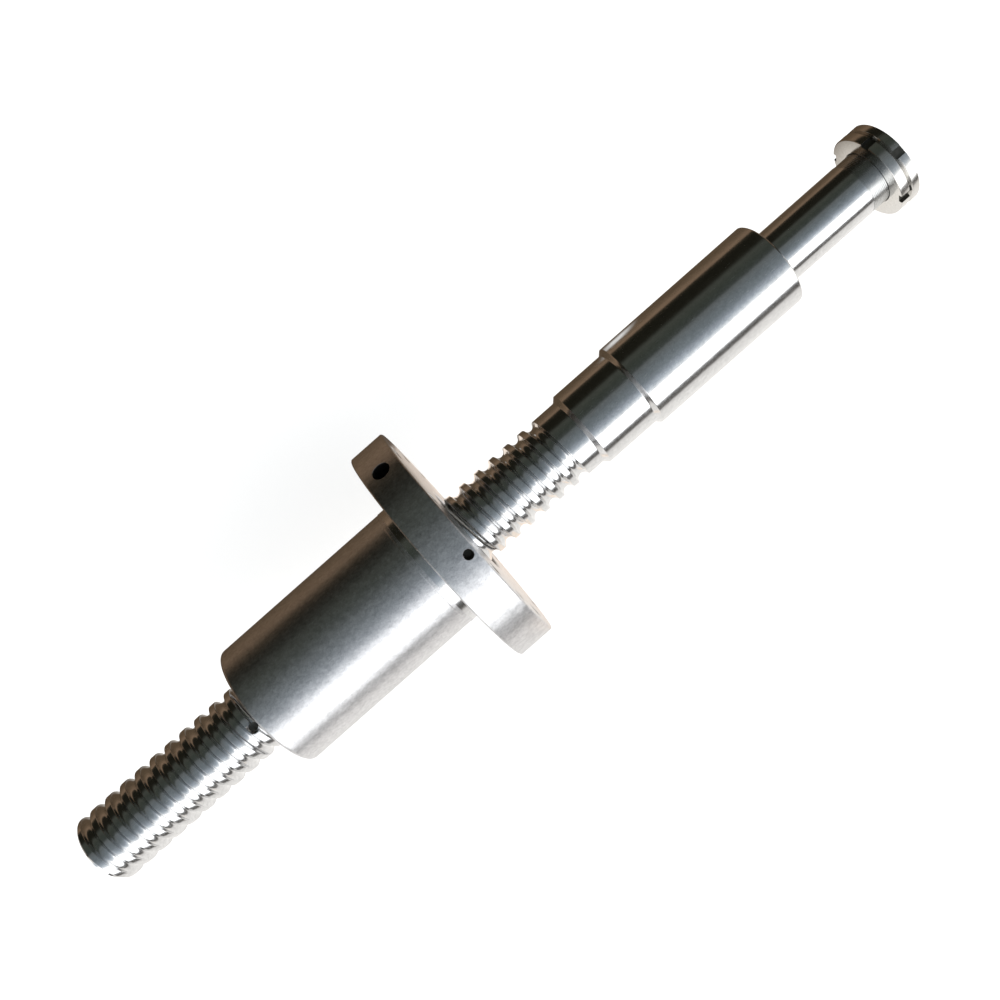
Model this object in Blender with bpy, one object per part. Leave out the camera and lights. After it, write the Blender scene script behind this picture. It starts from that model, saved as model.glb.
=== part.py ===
"""Ball screw: a ground screw shaft with stepped ends, a flanged ball nut and slotted locknuts.

Units are metres.  The screw lies along X, its locknut end at +X, with the origin on its axis
at half its length.  Angles about the axis start at +Y and turn towards +Z.
"""
import math

import bmesh
import bpy
from mathutils import Matrix, Vector

# Ball and thread
SCREW_DIAMETER = 0.063
LEAD = 0.016
BALL_DIAMETER = 0.01032
BALL_CIRCLE_DIAMETER = 0.0641
BALL_PLAY = 0.0001
GROOVE_AT_TOP_FROM_LEFT = 0.4407
THREAD_SEGMENTS = 16
FLANK_STEPS = 2
TAP_OVERRUN = 0.004

# Shaft sections, from the left end to the right
THREADED_LENGTH = 0.4994
RUN_OUT_LENGTH = 0.004
PLAIN_LENGTH = 0.0219
COLLAR_DIAMETER = 0.071
COLLAR_LENGTH = 0.0519
SEAT_DIAMETER = 0.0786
SEAT_LENGTH = 0.1535
JOURNAL_DIAMETER = 0.0488
JOURNAL_LENGTH = 0.0908
END_THREAD_DIAMETER = 0.048
END_THREAD_LENGTH = 0.0382
END_CHAMFER = 0.002
EDGE_CHAMFER = 0.001
SEAT_EDGE_CHAMFER = 0.0015
CENTRE_HOLE_DIAMETER = 0.014
CENTRE_HOLE_DEPTH = 0.008
CENTRE_HOLE_TIP = 0.0035
STOP_HOLE_DIAMETER = 0.0075
STOP_HOLE_MOUTH = 0.0115
STOP_HOLE_DEPTH = 0.010
STOP_HOLE_ANGLE = 99.0
STOP_HOLE_FROM_NUT = 0.012
ROUND_SEGMENTS = 32
HOLE_SEGMENTS = 12

# Ball nut
NUT_FROM_LEFT = 0.1787
NUT_LENGTH = 0.2171
NUT_CORNER = 0.0035
NUT_CORNER_STEPS = 3
NUT_BORE_PLAY = 0.0015
PILOT_DIAMETER = 0.1163
PILOT_LENGTH = 0.0135
PILOT_STEP = 0.0004
FLANGE_DIAMETER = 0.211
FLANGE_THICKNESS = 0.0328
FLANGE_CHAMFER = 0.001
BOLT_FROM_RIM = 0.016
BOLT_HOLE_DIAMETER = 0.0135
BOLT_COUNT = 8
BOLT_FIRST_ANGLE = 22.5
JACK_HOLE_DIAMETER = 0.0105
JACK_HOLE_ANGLES = (135.0, -45.0)
OIL_PORT_DIAMETER = 0.0155
OIL_PORT_ANGLE = 43.3
OIL_PORT_DEPTH = 0.030
VENT_PORT_DIAMETER = 0.008
VENT_PORT_ANGLE = 97.4
VENT_PORT_DEPTH = 0.016
VENT_PORT_FROM_FACE = 0.0067

# Seals at both ends of the nut
SEAL_RECESS_DIAMETER = 0.084
SPACER_THICKNESS = 0.002
WIPER_WIDTH = 0.008
WIPER_LIP_PLAY = 0.0006
WIPER_LIP_WIDTH = 0.0013
WIPER_TAPER = 0.0027
SNAP_RING_THICKNESS = 0.002
SNAP_RING_WIDTH = 0.0048
SNAP_RING_EAR_WIDTH = 0.0077
SNAP_RING_SEATING = 0.0016
SNAP_RING_OPENING = 40.0
SNAP_RING_STEPS = 20
SEAL_RECESS_LIP = 0.0025
SEAL_SEGMENTS = 28

# Ball circuits and their return tubes
CIRCUIT_COUNT = 2
CIRCUIT_TURNS = 2.5
CIRCUIT_SPACING_LEADS = 4
CIRCUIT_FIRST_LEAD = -14
BALL_PITCH = 0.0107
BALL_TOUCH_RADIUS = 0.0015
BALL_SIDES = 5
BALL_PATH_STEPS = 180
TUBE_WALL = 0.0009
TUBE_BALL_PLAY = 0.0003
TUBE_BEND_RADIUS = 0.024
TUBE_SIDES = 8
TUBE_BEND_STEPS = 4
TUBE_HOLE_SEGMENTS = 16
TUBE_HOLE_OVERRUN = 0.001
TUBE_SLOT_PLAY = 0.00035
POCKET_WALL = 0.0024
CLAMP_THICKNESS = 0.001
CLAMP_LENGTH = 0.012
CLAMP_ARC_STEPS = 4
CLAMP_SCREW_SPACING = 0.0374
CLAMP_EDGE = 0.005
CLAMP_SCREW_DIAMETER = 0.004
CLAMP_SCREW_HEAD = 0.007
CLAMP_SCREW_HEAD_HEIGHT = 0.0026
CLAMP_SCREW_HEAD_CHAMFER = 0.0007
CLAMP_SCREW_GRIP = 0.0035
CLAMP_SCREW_SIDES = 8

# Locknuts
LOCKNUT_DIAMETER = 0.0756
LOCKNUT_WIDTH = 0.0102
LOCKNUT_CHAMFER = {"along": 0.0016, "across": 0.004}
LOCKNUT_CLAMPING_EDGE = {"along": 0.0006, "across": 0.0006}
LOCKNUT_SLOTS = 4
LOCKNUT_SLOT_WIDTH = 0.0075
LOCKNUT_SLOT_DEPTH = 0.0032
LOCKNUT_FIRST_SLOT = {"locknut_inner": 58.0, "locknut_outer": 92.0}
LOCKNUT_FROM_END = 0.001

# Gap left between neighbouring pieces
GAP = 0.0003

# Distances below which two points count as one
MERGE_DISTANCE = 1e-7
RING_TOLERANCE = 1e-6
THREAD_END_MARGIN = 2e-6

# Places along the axis that follow from the sizes above
TOTAL_LENGTH = (THREADED_LENGTH + PLAIN_LENGTH + COLLAR_LENGTH + SEAT_LENGTH
                + JOURNAL_LENGTH + END_THREAD_LENGTH)
SCREW_LEFT = -TOTAL_LENGTH / 2
THREAD_END = SCREW_LEFT + THREADED_LENGTH
COLLAR_LEFT = THREAD_END + PLAIN_LENGTH
SEAT_LEFT = COLLAR_LEFT + COLLAR_LENGTH
JOURNAL_LEFT = SEAT_LEFT + SEAT_LENGTH
END_THREAD_LEFT = JOURNAL_LEFT + JOURNAL_LENGTH
SCREW_RIGHT = TOTAL_LENGTH / 2
GROOVE_AT_TOP = SCREW_LEFT + GROOVE_AT_TOP_FROM_LEFT
NUT_LEFT = SCREW_LEFT + NUT_FROM_LEFT
NUT_RIGHT = NUT_LEFT + NUT_LENGTH
FLANGE_LEFT = NUT_RIGHT - FLANGE_THICKNESS
PILOT_LEFT = FLANGE_LEFT - PILOT_LENGTH
NUT_DIAMETER = PILOT_DIAMETER - 2 * PILOT_STEP
BALL_CIRCLE_RADIUS = BALL_CIRCLE_DIAMETER / 2
NUT_BORE_RADIUS = SCREW_DIAMETER / 2 + NUT_BORE_PLAY
SEAL_RECESS_DEPTH = (SPACER_THICKNESS + WIPER_WIDTH + SNAP_RING_THICKNESS
                     + SEAL_RECESS_LIP + 3 * GAP)

# Return tube: its legs leave the ball circle at +Y and -Y and its run lies below the screw
TUBE_BORE_RADIUS = (BALL_DIAMETER + TUBE_BALL_PLAY * 2) / 2
TUBE_RADIUS = TUBE_BORE_RADIUS + TUBE_WALL
SLOT_RADIUS = TUBE_RADIUS + TUBE_SLOT_PLAY
CLAMP_INNER_RADIUS = TUBE_RADIUS + GAP
POCKET_FLOOR = BALL_CIRCLE_RADIUS + BALL_DIAMETER / 2 + POCKET_WALL
TUBE_RUN_HEIGHT = POCKET_FLOOR + SLOT_RADIUS
CIRCUIT_LENGTH = CIRCUIT_TURNS * LEAD
TUBE_SPAN = math.hypot(CIRCUIT_LENGTH, BALL_CIRCLE_DIAMETER)
TUBE_ALONG = Vector((CIRCUIT_LENGTH, -BALL_CIRCLE_DIAMETER, 0)).normalized()
TUBE_ACROSS = Vector((0, 0, 1)).cross(TUBE_ALONG)


def on_axis(x, radius, angle):
    """A point at a distance and an angle, in radians, about the screw's axis."""
    return Vector((x, radius * math.cos(angle), radius * math.sin(angle)))


def make_material(name, colour, roughness, metallic):
    material = bpy.data.materials.new(name)
    material.use_nodes = True
    shader = material.node_tree.nodes["Principled BSDF"]
    shader.inputs["Base Color"].default_value = (*colour, 1.0)
    shader.inputs["Roughness"].default_value = roughness
    shader.inputs["Metallic"].default_value = metallic
    return material


def add_object(name, bm, material=None, sharp_angle=35.0):
    """Turn a bmesh into a named object, smooth apart from its sharp edges."""
    bmesh.ops.recalc_face_normals(bm, faces=bm.faces)
    mesh = bpy.data.meshes.new(name)
    bm.to_mesh(mesh)
    bm.free()
    mesh.shade_smooth()
    mesh.set_sharp_from_angle(angle=math.radians(sharp_angle))
    if material:
        mesh.materials.append(material)
    obj = bpy.data.objects.new(name, mesh)
    bpy.context.collection.objects.link(obj)
    return obj


def add_cutter(name, bm):
    cutter = add_object(name, bm)
    cutter.hide_render = True
    cutter.display_type = "WIRE"
    return cutter


def cut(obj, cutter):
    modifier = obj.modifiers.new(cutter.name, "BOOLEAN")
    modifier.operation = "DIFFERENCE"
    modifier.object = cutter


def add_ring(bm, x, radii):
    """A ring of vertices about the axis, one for each radius."""
    step = 2 * math.pi / len(radii)
    return [bm.verts.new(on_axis(x, radius, step * i)) for i, radius in enumerate(radii)]


def join_rings(bm, first, second):
    count = len(first)
    for i in range(count):
        j = (i + 1) % count
        bm.faces.new((first[i], first[j], second[j], second[i]))


def join_ring_to_finer(bm, coarse, fine):
    """Join a ring to one that has twice as many vertices."""
    count = len(coarse)
    for i in range(count):
        j = (i + 1) % count
        middle = fine[2 * i + 1]
        bm.faces.new((coarse[i], middle, fine[2 * i]))
        bm.faces.new((coarse[i], coarse[j], middle))
        bm.faces.new((coarse[j], fine[(2 * i + 2) % len(fine)], middle))


def turn_solid(bm, profile, segments=ROUND_SEGMENTS):
    """Turn an outline of (x, radius) points about the axis and close both ends with a disc."""
    rings = [add_ring(bm, x, [radius] * segments) for x, radius in profile]
    for first, second in zip(rings, rings[1:]):
        join_rings(bm, first, second)
    bm.faces.new(rings[0])
    bm.faces.new(rings[-1])


def turn_ring(bm, profile, segments=ROUND_SEGMENTS):
    """Turn a closed section of (x, radius) points about the axis."""
    rings = [add_ring(bm, x, [radius] * segments) for x, radius in profile]
    for first, second in zip(rings, rings[1:] + rings[:1]):
        join_rings(bm, first, second)


def add_cylinder(bm, radius, start, end, segments=HOLE_SEGMENTS, end_radius=None):
    """A closed cylinder or cone between two points."""
    direction = end - start
    turn = direction.to_track_quat("Z", "Y").to_matrix().to_4x4()
    place = Matrix.Translation((start + end) / 2) @ turn
    bmesh.ops.create_cone(bm, cap_ends=True, segments=segments, radius1=radius,
                          radius2=radius if end_radius is None else end_radius,
                          depth=direction.length, matrix=place)


def groove_profile(inside_nut):
    """One lead of the pointed ball groove, as (axial offset, radius) points about its middle."""
    if inside_nut:
        side = 1
        land = NUT_BORE_RADIUS
        facet = 1 / math.cos(math.pi / THREAD_SEGMENTS)
    else:
        side = -1
        land = SCREW_DIAMETER / 2
        facet = 1
    clear = BALL_DIAMETER / 2 + BALL_PLAY
    edge = math.acos(side * (land - BALL_CIRCLE_RADIUS) / clear)
    arc = clear / math.cos(edge / FLANK_STEPS / 2)
    edge = math.acos(side * (land - BALL_CIRCLE_RADIUS) / arc)
    points = []
    for step in range(-FLANK_STEPS, FLANK_STEPS + 1):
        angle = edge * step / FLANK_STEPS
        radius = BALL_CIRCLE_RADIUS + side * arc * math.cos(angle)
        points.append((arc * math.sin(angle), radius * facet))
    return points


def radius_on_line(line, x):
    """The radius at x on one line of (x, radius) points along the thread."""
    for (x_a, r_a), (x_b, r_b) in zip(line, line[1:]):
        if x_a <= x <= x_b:
            return r_a + (r_b - r_a) * (x - x_a) / (x_b - x_a)
    return line[-1][1]


def add_thread(bm, profile, x_low, x_high, groove_end=None):
    """Wind one lead's profile along the screw, and give back the rings at its two ends."""
    first_turn = math.floor((x_low - GROOVE_AT_TOP) / LEAD) - 2
    last_turn = math.ceil((x_high - GROOVE_AT_TOP) / LEAD) + 2
    land = profile[0][1]
    lines = []
    for i in range(THREAD_SEGMENTS):
        line = []
        for turn in range(first_turn, last_turn + 1):
            middle = GROOVE_AT_TOP + LEAD * (turn + i / THREAD_SEGMENTS)
            share = 1.0
            if groove_end is not None:
                share = min(1.0, max(0.0, (groove_end - middle) / RUN_OUT_LENGTH))
            for offset, radius in profile:
                line.append((middle + offset, land + (radius - land) * share))
        low = (x_low, radius_on_line(line, x_low))
        high = (x_high, radius_on_line(line, x_high))
        angle = 2 * math.pi * i / THREAD_SEGMENTS
        verts = []
        for x, radius in line:
            if x < x_low + THREAD_END_MARGIN:
                x, radius = low
            elif x > x_high - THREAD_END_MARGIN:
                x, radius = high
            verts.append(bm.verts.new(on_axis(x, radius, angle)))
        lines.append(verts)
    for i, line in enumerate(lines):
        shift = len(profile) if i == THREAD_SEGMENTS - 1 else 0
        beside = lines[(i + 1) % THREAD_SEGMENTS]
        for j in range(len(line) - 1 - shift):
            bm.faces.new((line[j], line[j + 1], beside[j + 1 + shift], beside[j + shift]))
    bmesh.ops.remove_doubles(bm, verts=bm.verts, dist=MERGE_DISTANCE)
    return [end_ring(bm, x) for x in (x_low, x_high)]


def end_ring(bm, x):
    """The vertices at one place along the axis, in order about it."""
    ring = [vert for vert in bm.verts if abs(vert.co.x - x) < RING_TOLERANCE]
    full = 2 * math.pi - RING_TOLERANCE
    return sorted(ring, key=lambda vert: math.atan2(vert.co.z, vert.co.y) % full)


def make_screw(material):
    bm = bmesh.new()
    radius = SCREW_DIAMETER / 2
    thread_low = SCREW_LEFT + END_CHAMFER
    plain_middle = THREAD_END + PLAIN_LENGTH / 2
    groove_end = THREAD_END + RUN_OUT_LENGTH / 2
    profile = groove_profile(False)
    low_ring, high_ring = add_thread(bm, profile, thread_low, plain_middle, groove_end)

    # Left end: chamfer, face and centre hole
    hole_radius = CENTRE_HOLE_DIAMETER / 2
    radii = [min(math.hypot(vert.co.y, vert.co.z), radius - END_CHAMFER) for vert in low_ring]
    face = add_ring(bm, SCREW_LEFT, radii)
    mouth = add_ring(bm, SCREW_LEFT, [hole_radius] * THREAD_SEGMENTS)
    bottom = add_ring(bm, SCREW_LEFT + CENTRE_HOLE_DEPTH, [CENTRE_HOLE_TIP / 2] * THREAD_SEGMENTS)
    join_rings(bm, low_ring, face)
    join_rings(bm, face, mouth)
    join_rings(bm, mouth, bottom)
    bm.faces.new(bottom)

    # Right end: plain part, collar, bearing seat, journal and fine thread
    collar = COLLAR_DIAMETER / 2
    seat = SEAT_DIAMETER / 2
    journal = JOURNAL_DIAMETER / 2
    end_thread = END_THREAD_DIAMETER / 2
    turned = [
        (plain_middle + EDGE_CHAMFER, radius),
        (COLLAR_LEFT - (collar - radius), radius),
        (COLLAR_LEFT, collar),
        (SEAT_LEFT - (seat - collar) / 2, collar),
        (SEAT_LEFT, (collar + seat) / 2),
        (SEAT_LEFT + (seat - collar) / 2, seat),
        (JOURNAL_LEFT - SEAT_EDGE_CHAMFER, seat),
        (JOURNAL_LEFT, seat - SEAT_EDGE_CHAMFER),
        (JOURNAL_LEFT, journal),
        (END_THREAD_LEFT - (journal - end_thread), journal),
        (END_THREAD_LEFT, end_thread),
        (SCREW_RIGHT - EDGE_CHAMFER, end_thread),
        (SCREW_RIGHT, end_thread - EDGE_CHAMFER),
        (SCREW_RIGHT, hole_radius),
        (SCREW_RIGHT - CENTRE_HOLE_DEPTH, CENTRE_HOLE_TIP / 2),
    ]
    rings = [add_ring(bm, x, [r] * ROUND_SEGMENTS) for x, r in turned]
    join_ring_to_finer(bm, high_ring, rings[0])
    for first, second in zip(rings, rings[1:]):
        join_rings(bm, first, second)
    bm.faces.new(rings[-1])
    screw = add_object("screw_shaft", bm, material)

    # Countersunk radial hole beside the nut, for the stop that keeps the nut on the screw
    x = NUT_LEFT - STOP_HOLE_FROM_NUT
    angle = math.radians(STOP_HOLE_ANGLE)
    hole = bmesh.new()
    sink = (STOP_HOLE_MOUTH - STOP_HOLE_DIAMETER) / 2
    add_cylinder(hole, STOP_HOLE_DIAMETER / 2, on_axis(x, radius - STOP_HOLE_DEPTH, angle),
                 on_axis(x, radius + STOP_HOLE_DEPTH, angle))
    cut(screw, add_cutter("stop_hole_cutter", hole))
    sink_cone = bmesh.new()
    add_cylinder(sink_cone, STOP_HOLE_DIAMETER / 2 - sink, on_axis(x, radius - 2 * sink, angle),
                 on_axis(x, radius + sink, angle), end_radius=STOP_HOLE_MOUTH / 2 + sink)
    cut(screw, add_cutter("stop_hole_sink_cutter", sink_cone))
    return screw


def nut_blank_profile():
    """Outline of the nut from the floor of its left recess, round its outside, to the right one."""
    body = NUT_DIAMETER / 2
    pilot = PILOT_DIAMETER / 2
    flange = FLANGE_DIAMETER / 2
    recess = SEAL_RECESS_DIAMETER / 2
    groove = recess + SNAP_RING_SEATING
    groove_near = SEAL_RECESS_LIP
    groove_far = SEAL_RECESS_LIP + SNAP_RING_THICKNESS + GAP
    points = [(NUT_LEFT + SEAL_RECESS_DEPTH, recess), (NUT_LEFT + groove_far, recess),
              (NUT_LEFT + groove_far, groove), (NUT_LEFT + groove_near, groove),
              (NUT_LEFT + groove_near, recess), (NUT_LEFT + EDGE_CHAMFER, recess),
              (NUT_LEFT, recess + EDGE_CHAMFER)]
    for step in range(NUT_CORNER_STEPS + 1):
        angle = math.pi / 2 * step / NUT_CORNER_STEPS
        points.append((NUT_LEFT + NUT_CORNER * (1 - math.cos(angle)),
                       body - NUT_CORNER * (1 - math.sin(angle))))
    points += [(PILOT_LEFT, body), (PILOT_LEFT + PILOT_STEP, pilot),
               (FLANGE_LEFT, pilot), (FLANGE_LEFT, flange - FLANGE_CHAMFER),
               (FLANGE_LEFT + FLANGE_CHAMFER, flange), (NUT_RIGHT - FLANGE_CHAMFER, flange),
               (NUT_RIGHT, flange - FLANGE_CHAMFER), (NUT_RIGHT, recess + EDGE_CHAMFER),
               (NUT_RIGHT - EDGE_CHAMFER, recess), (NUT_RIGHT - groove_near, recess),
               (NUT_RIGHT - groove_near, groove), (NUT_RIGHT - groove_far, groove),
               (NUT_RIGHT - groove_far, recess), (NUT_RIGHT - SEAL_RECESS_DEPTH, recess)]
    return points


def flange_holes():
    """Bolt holes and jacking holes through the flange, and the two ports in its rim."""
    bm = bmesh.new()
    rim = FLANGE_DIAMETER / 2
    radius = rim - BOLT_FROM_RIM
    low = FLANGE_LEFT - FLANGE_CHAMFER
    high = NUT_RIGHT + FLANGE_CHAMFER
    angles = [90.0 + BOLT_FIRST_ANGLE + 360.0 * i / BOLT_COUNT for i in range(BOLT_COUNT)]
    sizes = [(angle, BOLT_HOLE_DIAMETER) for angle in angles]
    sizes += [(angle, JACK_HOLE_DIAMETER) for angle in JACK_HOLE_ANGLES]
    for angle, diameter in sizes:
        turn = math.radians(angle)
        add_cylinder(bm, diameter / 2, on_axis(low, radius, turn), on_axis(high, radius, turn))
    ports = [((FLANGE_LEFT + NUT_RIGHT) / 2, OIL_PORT_ANGLE, OIL_PORT_DIAMETER, OIL_PORT_DEPTH),
             (NUT_RIGHT - VENT_PORT_FROM_FACE, VENT_PORT_ANGLE, VENT_PORT_DIAMETER, VENT_PORT_DEPTH)]
    for x, angle, diameter, depth in ports:
        turn = math.radians(angle)
        add_cylinder(bm, diameter / 2, on_axis(x, rim - depth, turn), on_axis(x, rim + depth, turn))
    return bm


def circuit_start(number):
    """Where a circuit's first ball leaves its tube, at +Y on the ball circle."""
    lead = CIRCUIT_FIRST_LEAD + CIRCUIT_SPACING_LEADS * number
    return GROOVE_AT_TOP + lead * LEAD


def beside_tube(number, along, across, height):
    """A point at a distance along and across a return tube's run, and below the screw's axis."""
    middle = Vector((circuit_start(number) + CIRCUIT_LENGTH / 2, 0, -height))
    return middle + TUBE_ALONG * along + TUBE_ACROSS * across


def tube_outline(offset=0.0):
    """Half of the tube's centre line, as (distance from the leg, height) points, set off sideways."""
    bend = TUBE_BEND_RADIUS - offset
    corner = TUBE_RUN_HEIGHT - TUBE_BEND_RADIUS
    points = []
    for step in range(TUBE_BEND_STEPS + 1):
        angle = math.pi / 2 * step / TUBE_BEND_STEPS
        points.append((TUBE_BEND_RADIUS - bend * math.cos(angle), corner + bend * math.sin(angle)))
    return points


def tube_path(number, leg_start):
    """Centre line of a return tube, from one leg's end to the other's."""
    half = [(0.0, leg_start)] + tube_outline()
    path = [beside_tube(number, p - TUBE_SPAN / 2, 0, h) for p, h in half]
    path += [beside_tube(number, TUBE_SPAN / 2 - p, 0, h) for p, h in reversed(half)]
    return path


def make_tube(number, material):
    """A return tube whose two ends are scooped to the nut's bore."""
    path = tube_path(number, BALL_DIAMETER / 2)
    bm = bmesh.new()
    skins = []
    for reach in (TUBE_RADIUS, TUBE_BORE_RADIUS / math.cos(math.pi / TUBE_SIDES)):
        rings = []
        for index, point in enumerate(path):
            before = path[max(index - 1, 0)]
            after = path[min(index + 1, len(path) - 1)]
            tangent = (after - before).normalized()
            side = tangent.cross(TUBE_ACROSS)
            ring = []
            for i in range(TUBE_SIDES):
                angle = 2 * math.pi * i / TUBE_SIDES
                spoke = TUBE_ACROSS * math.cos(angle) + side * math.sin(angle)
                ring.append(bm.verts.new(point + spoke * reach))
            rings.append(ring)
        for first, second in zip(rings, rings[1:]):
            join_rings(bm, first, second)
        skins.append(rings)
    outer, inner = skins
    join_rings(bm, outer[0], inner[0])
    join_rings(bm, outer[-1], inner[-1])
    tube = add_object(f"return_tube_{number + 1}", bm, material)
    scoop = bmesh.new()
    ends = Vector((NUT_LEFT, 0, 0)), Vector((NUT_RIGHT, 0, 0))
    add_cylinder(scoop, NUT_BORE_RADIUS, *ends, ROUND_SEGMENTS)
    cut(tube, add_cutter(f"tube_scoop_cutter_{number + 1}", scoop))
    return tube


def leg_holes():
    """Holes drilled for the legs of the return tubes, from the pocket down to the ball circle."""
    bm = bmesh.new()
    radius = SLOT_RADIUS / math.cos(math.pi / TUBE_HOLE_SEGMENTS)
    for number in range(CIRCUIT_COUNT):
        for along in (-TUBE_SPAN / 2, TUBE_SPAN / 2):
            add_cylinder(bm, radius, beside_tube(number, along, 0, -TUBE_HOLE_OVERRUN),
                         beside_tube(number, along, 0, NUT_DIAMETER / 2), TUBE_HOLE_SEGMENTS)
    return bm


def bend_slots():
    """Slots that let the bends of the return tubes sink into the nut."""
    bm = bmesh.new()
    ceiling = NUT_DIAMETER / 2 + GAP
    bend = tube_outline(SLOT_RADIUS)[1:]
    bend[-1] = (bend[-1][0], POCKET_FLOOR + GAP)
    floor = TUBE_RUN_HEIGHT - TUBE_BEND_RADIUS - SLOT_RADIUS / 2
    outline = [(0.0, ceiling), (0.0, floor), (bend[0][0], floor)]
    outline += bend + [(bend[-1][0], ceiling)]
    for number in range(CIRCUIT_COUNT):
        for end in (-1, 1):
            sides = []
            for q in (-SLOT_RADIUS, SLOT_RADIUS):
                places = [beside_tube(number, end * (TUBE_SPAN / 2 - p), q, h) for p, h in outline]
                sides.append([bm.verts.new(place) for place in places])
            join_rings(bm, sides[0], sides[1])
            bm.faces.new(sides[0])
            bm.faces.new(sides[1])
    return bm


def tube_pocket():
    """The flat pocket on the nut's underside that the return tubes lie in."""
    bm = bmesh.new()
    low = circuit_start(0) - LEAD
    high = circuit_start(CIRCUIT_COUNT - 1) + CIRCUIT_LENGTH + LEAD
    size = Vector((high - low, NUT_DIAMETER, NUT_DIAMETER / 2))
    place = Vector(((low + high) / 2, 0, -POCKET_FLOOR - size.z / 2))
    bmesh.ops.create_cube(bm, size=1.0, matrix=Matrix.Translation(place) @ Matrix.Diagonal((*size, 1)))
    return bm


def clamp_screw_places():
    for number in range(CIRCUIT_COUNT):
        for across in (-CLAMP_SCREW_SPACING / 2, CLAMP_SCREW_SPACING / 2):
            yield number, beside_tube(number, 0, across, 0)


def clamp_screw_holes(depth_from, depth_to, numbers):
    bm = bmesh.new()
    for number, place in clamp_screw_places():
        if number in numbers:
            add_cylinder(bm, CLAMP_SCREW_DIAMETER / 2 + GAP, place - Vector((0, 0, depth_from)),
                         place - Vector((0, 0, depth_to)), CLAMP_SCREW_SIDES)
    return bm


def make_nut(material):
    bm = bmesh.new()
    turn_solid(bm, nut_blank_profile())
    nut = add_object("ball_nut", bm, material)
    tap = bmesh.new()
    low, high = add_thread(tap, groove_profile(True), NUT_LEFT + SEAL_RECESS_DEPTH - TAP_OVERRUN,
                           NUT_RIGHT - SEAL_RECESS_DEPTH + TAP_OVERRUN)
    tap.faces.new(low)
    tap.faces.new(high)
    cut(nut, add_cutter("tap_cutter", tap))
    cut(nut, add_cutter("flange_hole_cutter", flange_holes()))
    cut(nut, add_cutter("tube_pocket_cutter", tube_pocket()))
    cut(nut, add_cutter("leg_hole_cutter", leg_holes()))
    cut(nut, add_cutter("bend_slot_cutter", bend_slots()))
    hole_top = POCKET_FLOOR - CLAMP_SCREW_GRIP - GAP
    holes = clamp_screw_holes(hole_top, NUT_DIAMETER / 2, range(CIRCUIT_COUNT))
    cut(nut, add_cutter("clamp_hole_cutter", holes))
    return nut


def circuit_path(number):
    """The closed path of a circuit's ball centres: the loaded turns, then back through the tube."""
    start = circuit_start(number)
    path = []
    for step in range(BALL_PATH_STEPS):
        turns = CIRCUIT_TURNS * step / BALL_PATH_STEPS
        path.append(on_axis(start + LEAD * turns, BALL_CIRCLE_RADIUS, 2 * math.pi * turns))
    path += list(reversed(tube_path(number, 0.0)))
    return path


def make_balls(number, material):
    """A circuit's balls, each touching the next, as one string that closes on itself."""
    path = circuit_path(number)
    path.append(path[0])
    lengths = [0.0]
    for first, second in zip(path, path[1:]):
        lengths.append(lengths[-1] + (second - first).length)
    count = int(lengths[-1] / BALL_PITCH)
    pitch = lengths[-1] / count
    bead = [(0.0, BALL_TOUCH_RADIUS), (pitch / 2, BALL_DIAMETER / 2)]
    stations = [(ball * pitch + place, size) for ball in range(count) for place, size in bead]
    bm = bmesh.new()
    rings = []
    index = 0
    for distance, size in stations:
        while lengths[index + 1] < distance:
            index += 1
        share = (distance - lengths[index]) / (lengths[index + 1] - lengths[index])
        centre = path[index].lerp(path[index + 1], share)
        tangent = (path[index + 1] - path[index]).normalized()
        outward = Vector((0, centre.y, centre.z)).normalized()
        side = tangent.cross(outward).normalized()
        outward = side.cross(tangent)
        ring = []
        for i in range(BALL_SIDES):
            angle = 2 * math.pi * i / BALL_SIDES
            spoke = outward * math.cos(angle) + side * math.sin(angle)
            ring.append(bm.verts.new(centre + spoke * size))
        rings.append(ring)
    for first, second in zip(rings, rings[1:] + rings[:1]):
        join_rings(bm, first, second)
    return add_object(f"ball_circuit_{number + 1}", bm, material)


def make_clamp(number, material):
    """A saddle that holds a return tube down on the pocket's floor."""
    foot = POCKET_FLOOR + GAP
    half = CLAMP_SCREW_SPACING / 2 + CLAMP_EDGE
    skins = []
    for rise in (0, CLAMP_THICKNESS):
        radius = CLAMP_INNER_RADIUS + rise
        skin = [(-half, foot + rise), (-radius, foot + rise)]
        for step in range(CLAMP_ARC_STEPS + 1):
            angle = math.pi * step / CLAMP_ARC_STEPS
            skin.append((-radius * math.cos(angle), TUBE_RUN_HEIGHT + radius * math.sin(angle)))
        skin += [(radius, foot + rise), (half, foot + rise)]
        skins.append(skin)
    section = skins[0] + list(reversed(skins[1]))
    bm = bmesh.new()
    sides = []
    for p in (-CLAMP_LENGTH / 2, CLAMP_LENGTH / 2):
        sides.append([bm.verts.new(beside_tube(number, p, q, h)) for q, h in section])
    join_rings(bm, sides[0], sides[1])
    bm.faces.new(sides[0])
    bm.faces.new(sides[1])
    clamp = add_object(f"tube_clamp_{number + 1}", bm, material)
    holes = clamp_screw_holes(POCKET_FLOOR - GAP, POCKET_FLOOR + 3 * CLAMP_THICKNESS, (number,))
    cut(clamp, add_cutter(f"clamp_cutter_{number + 1}", holes))
    return clamp


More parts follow.
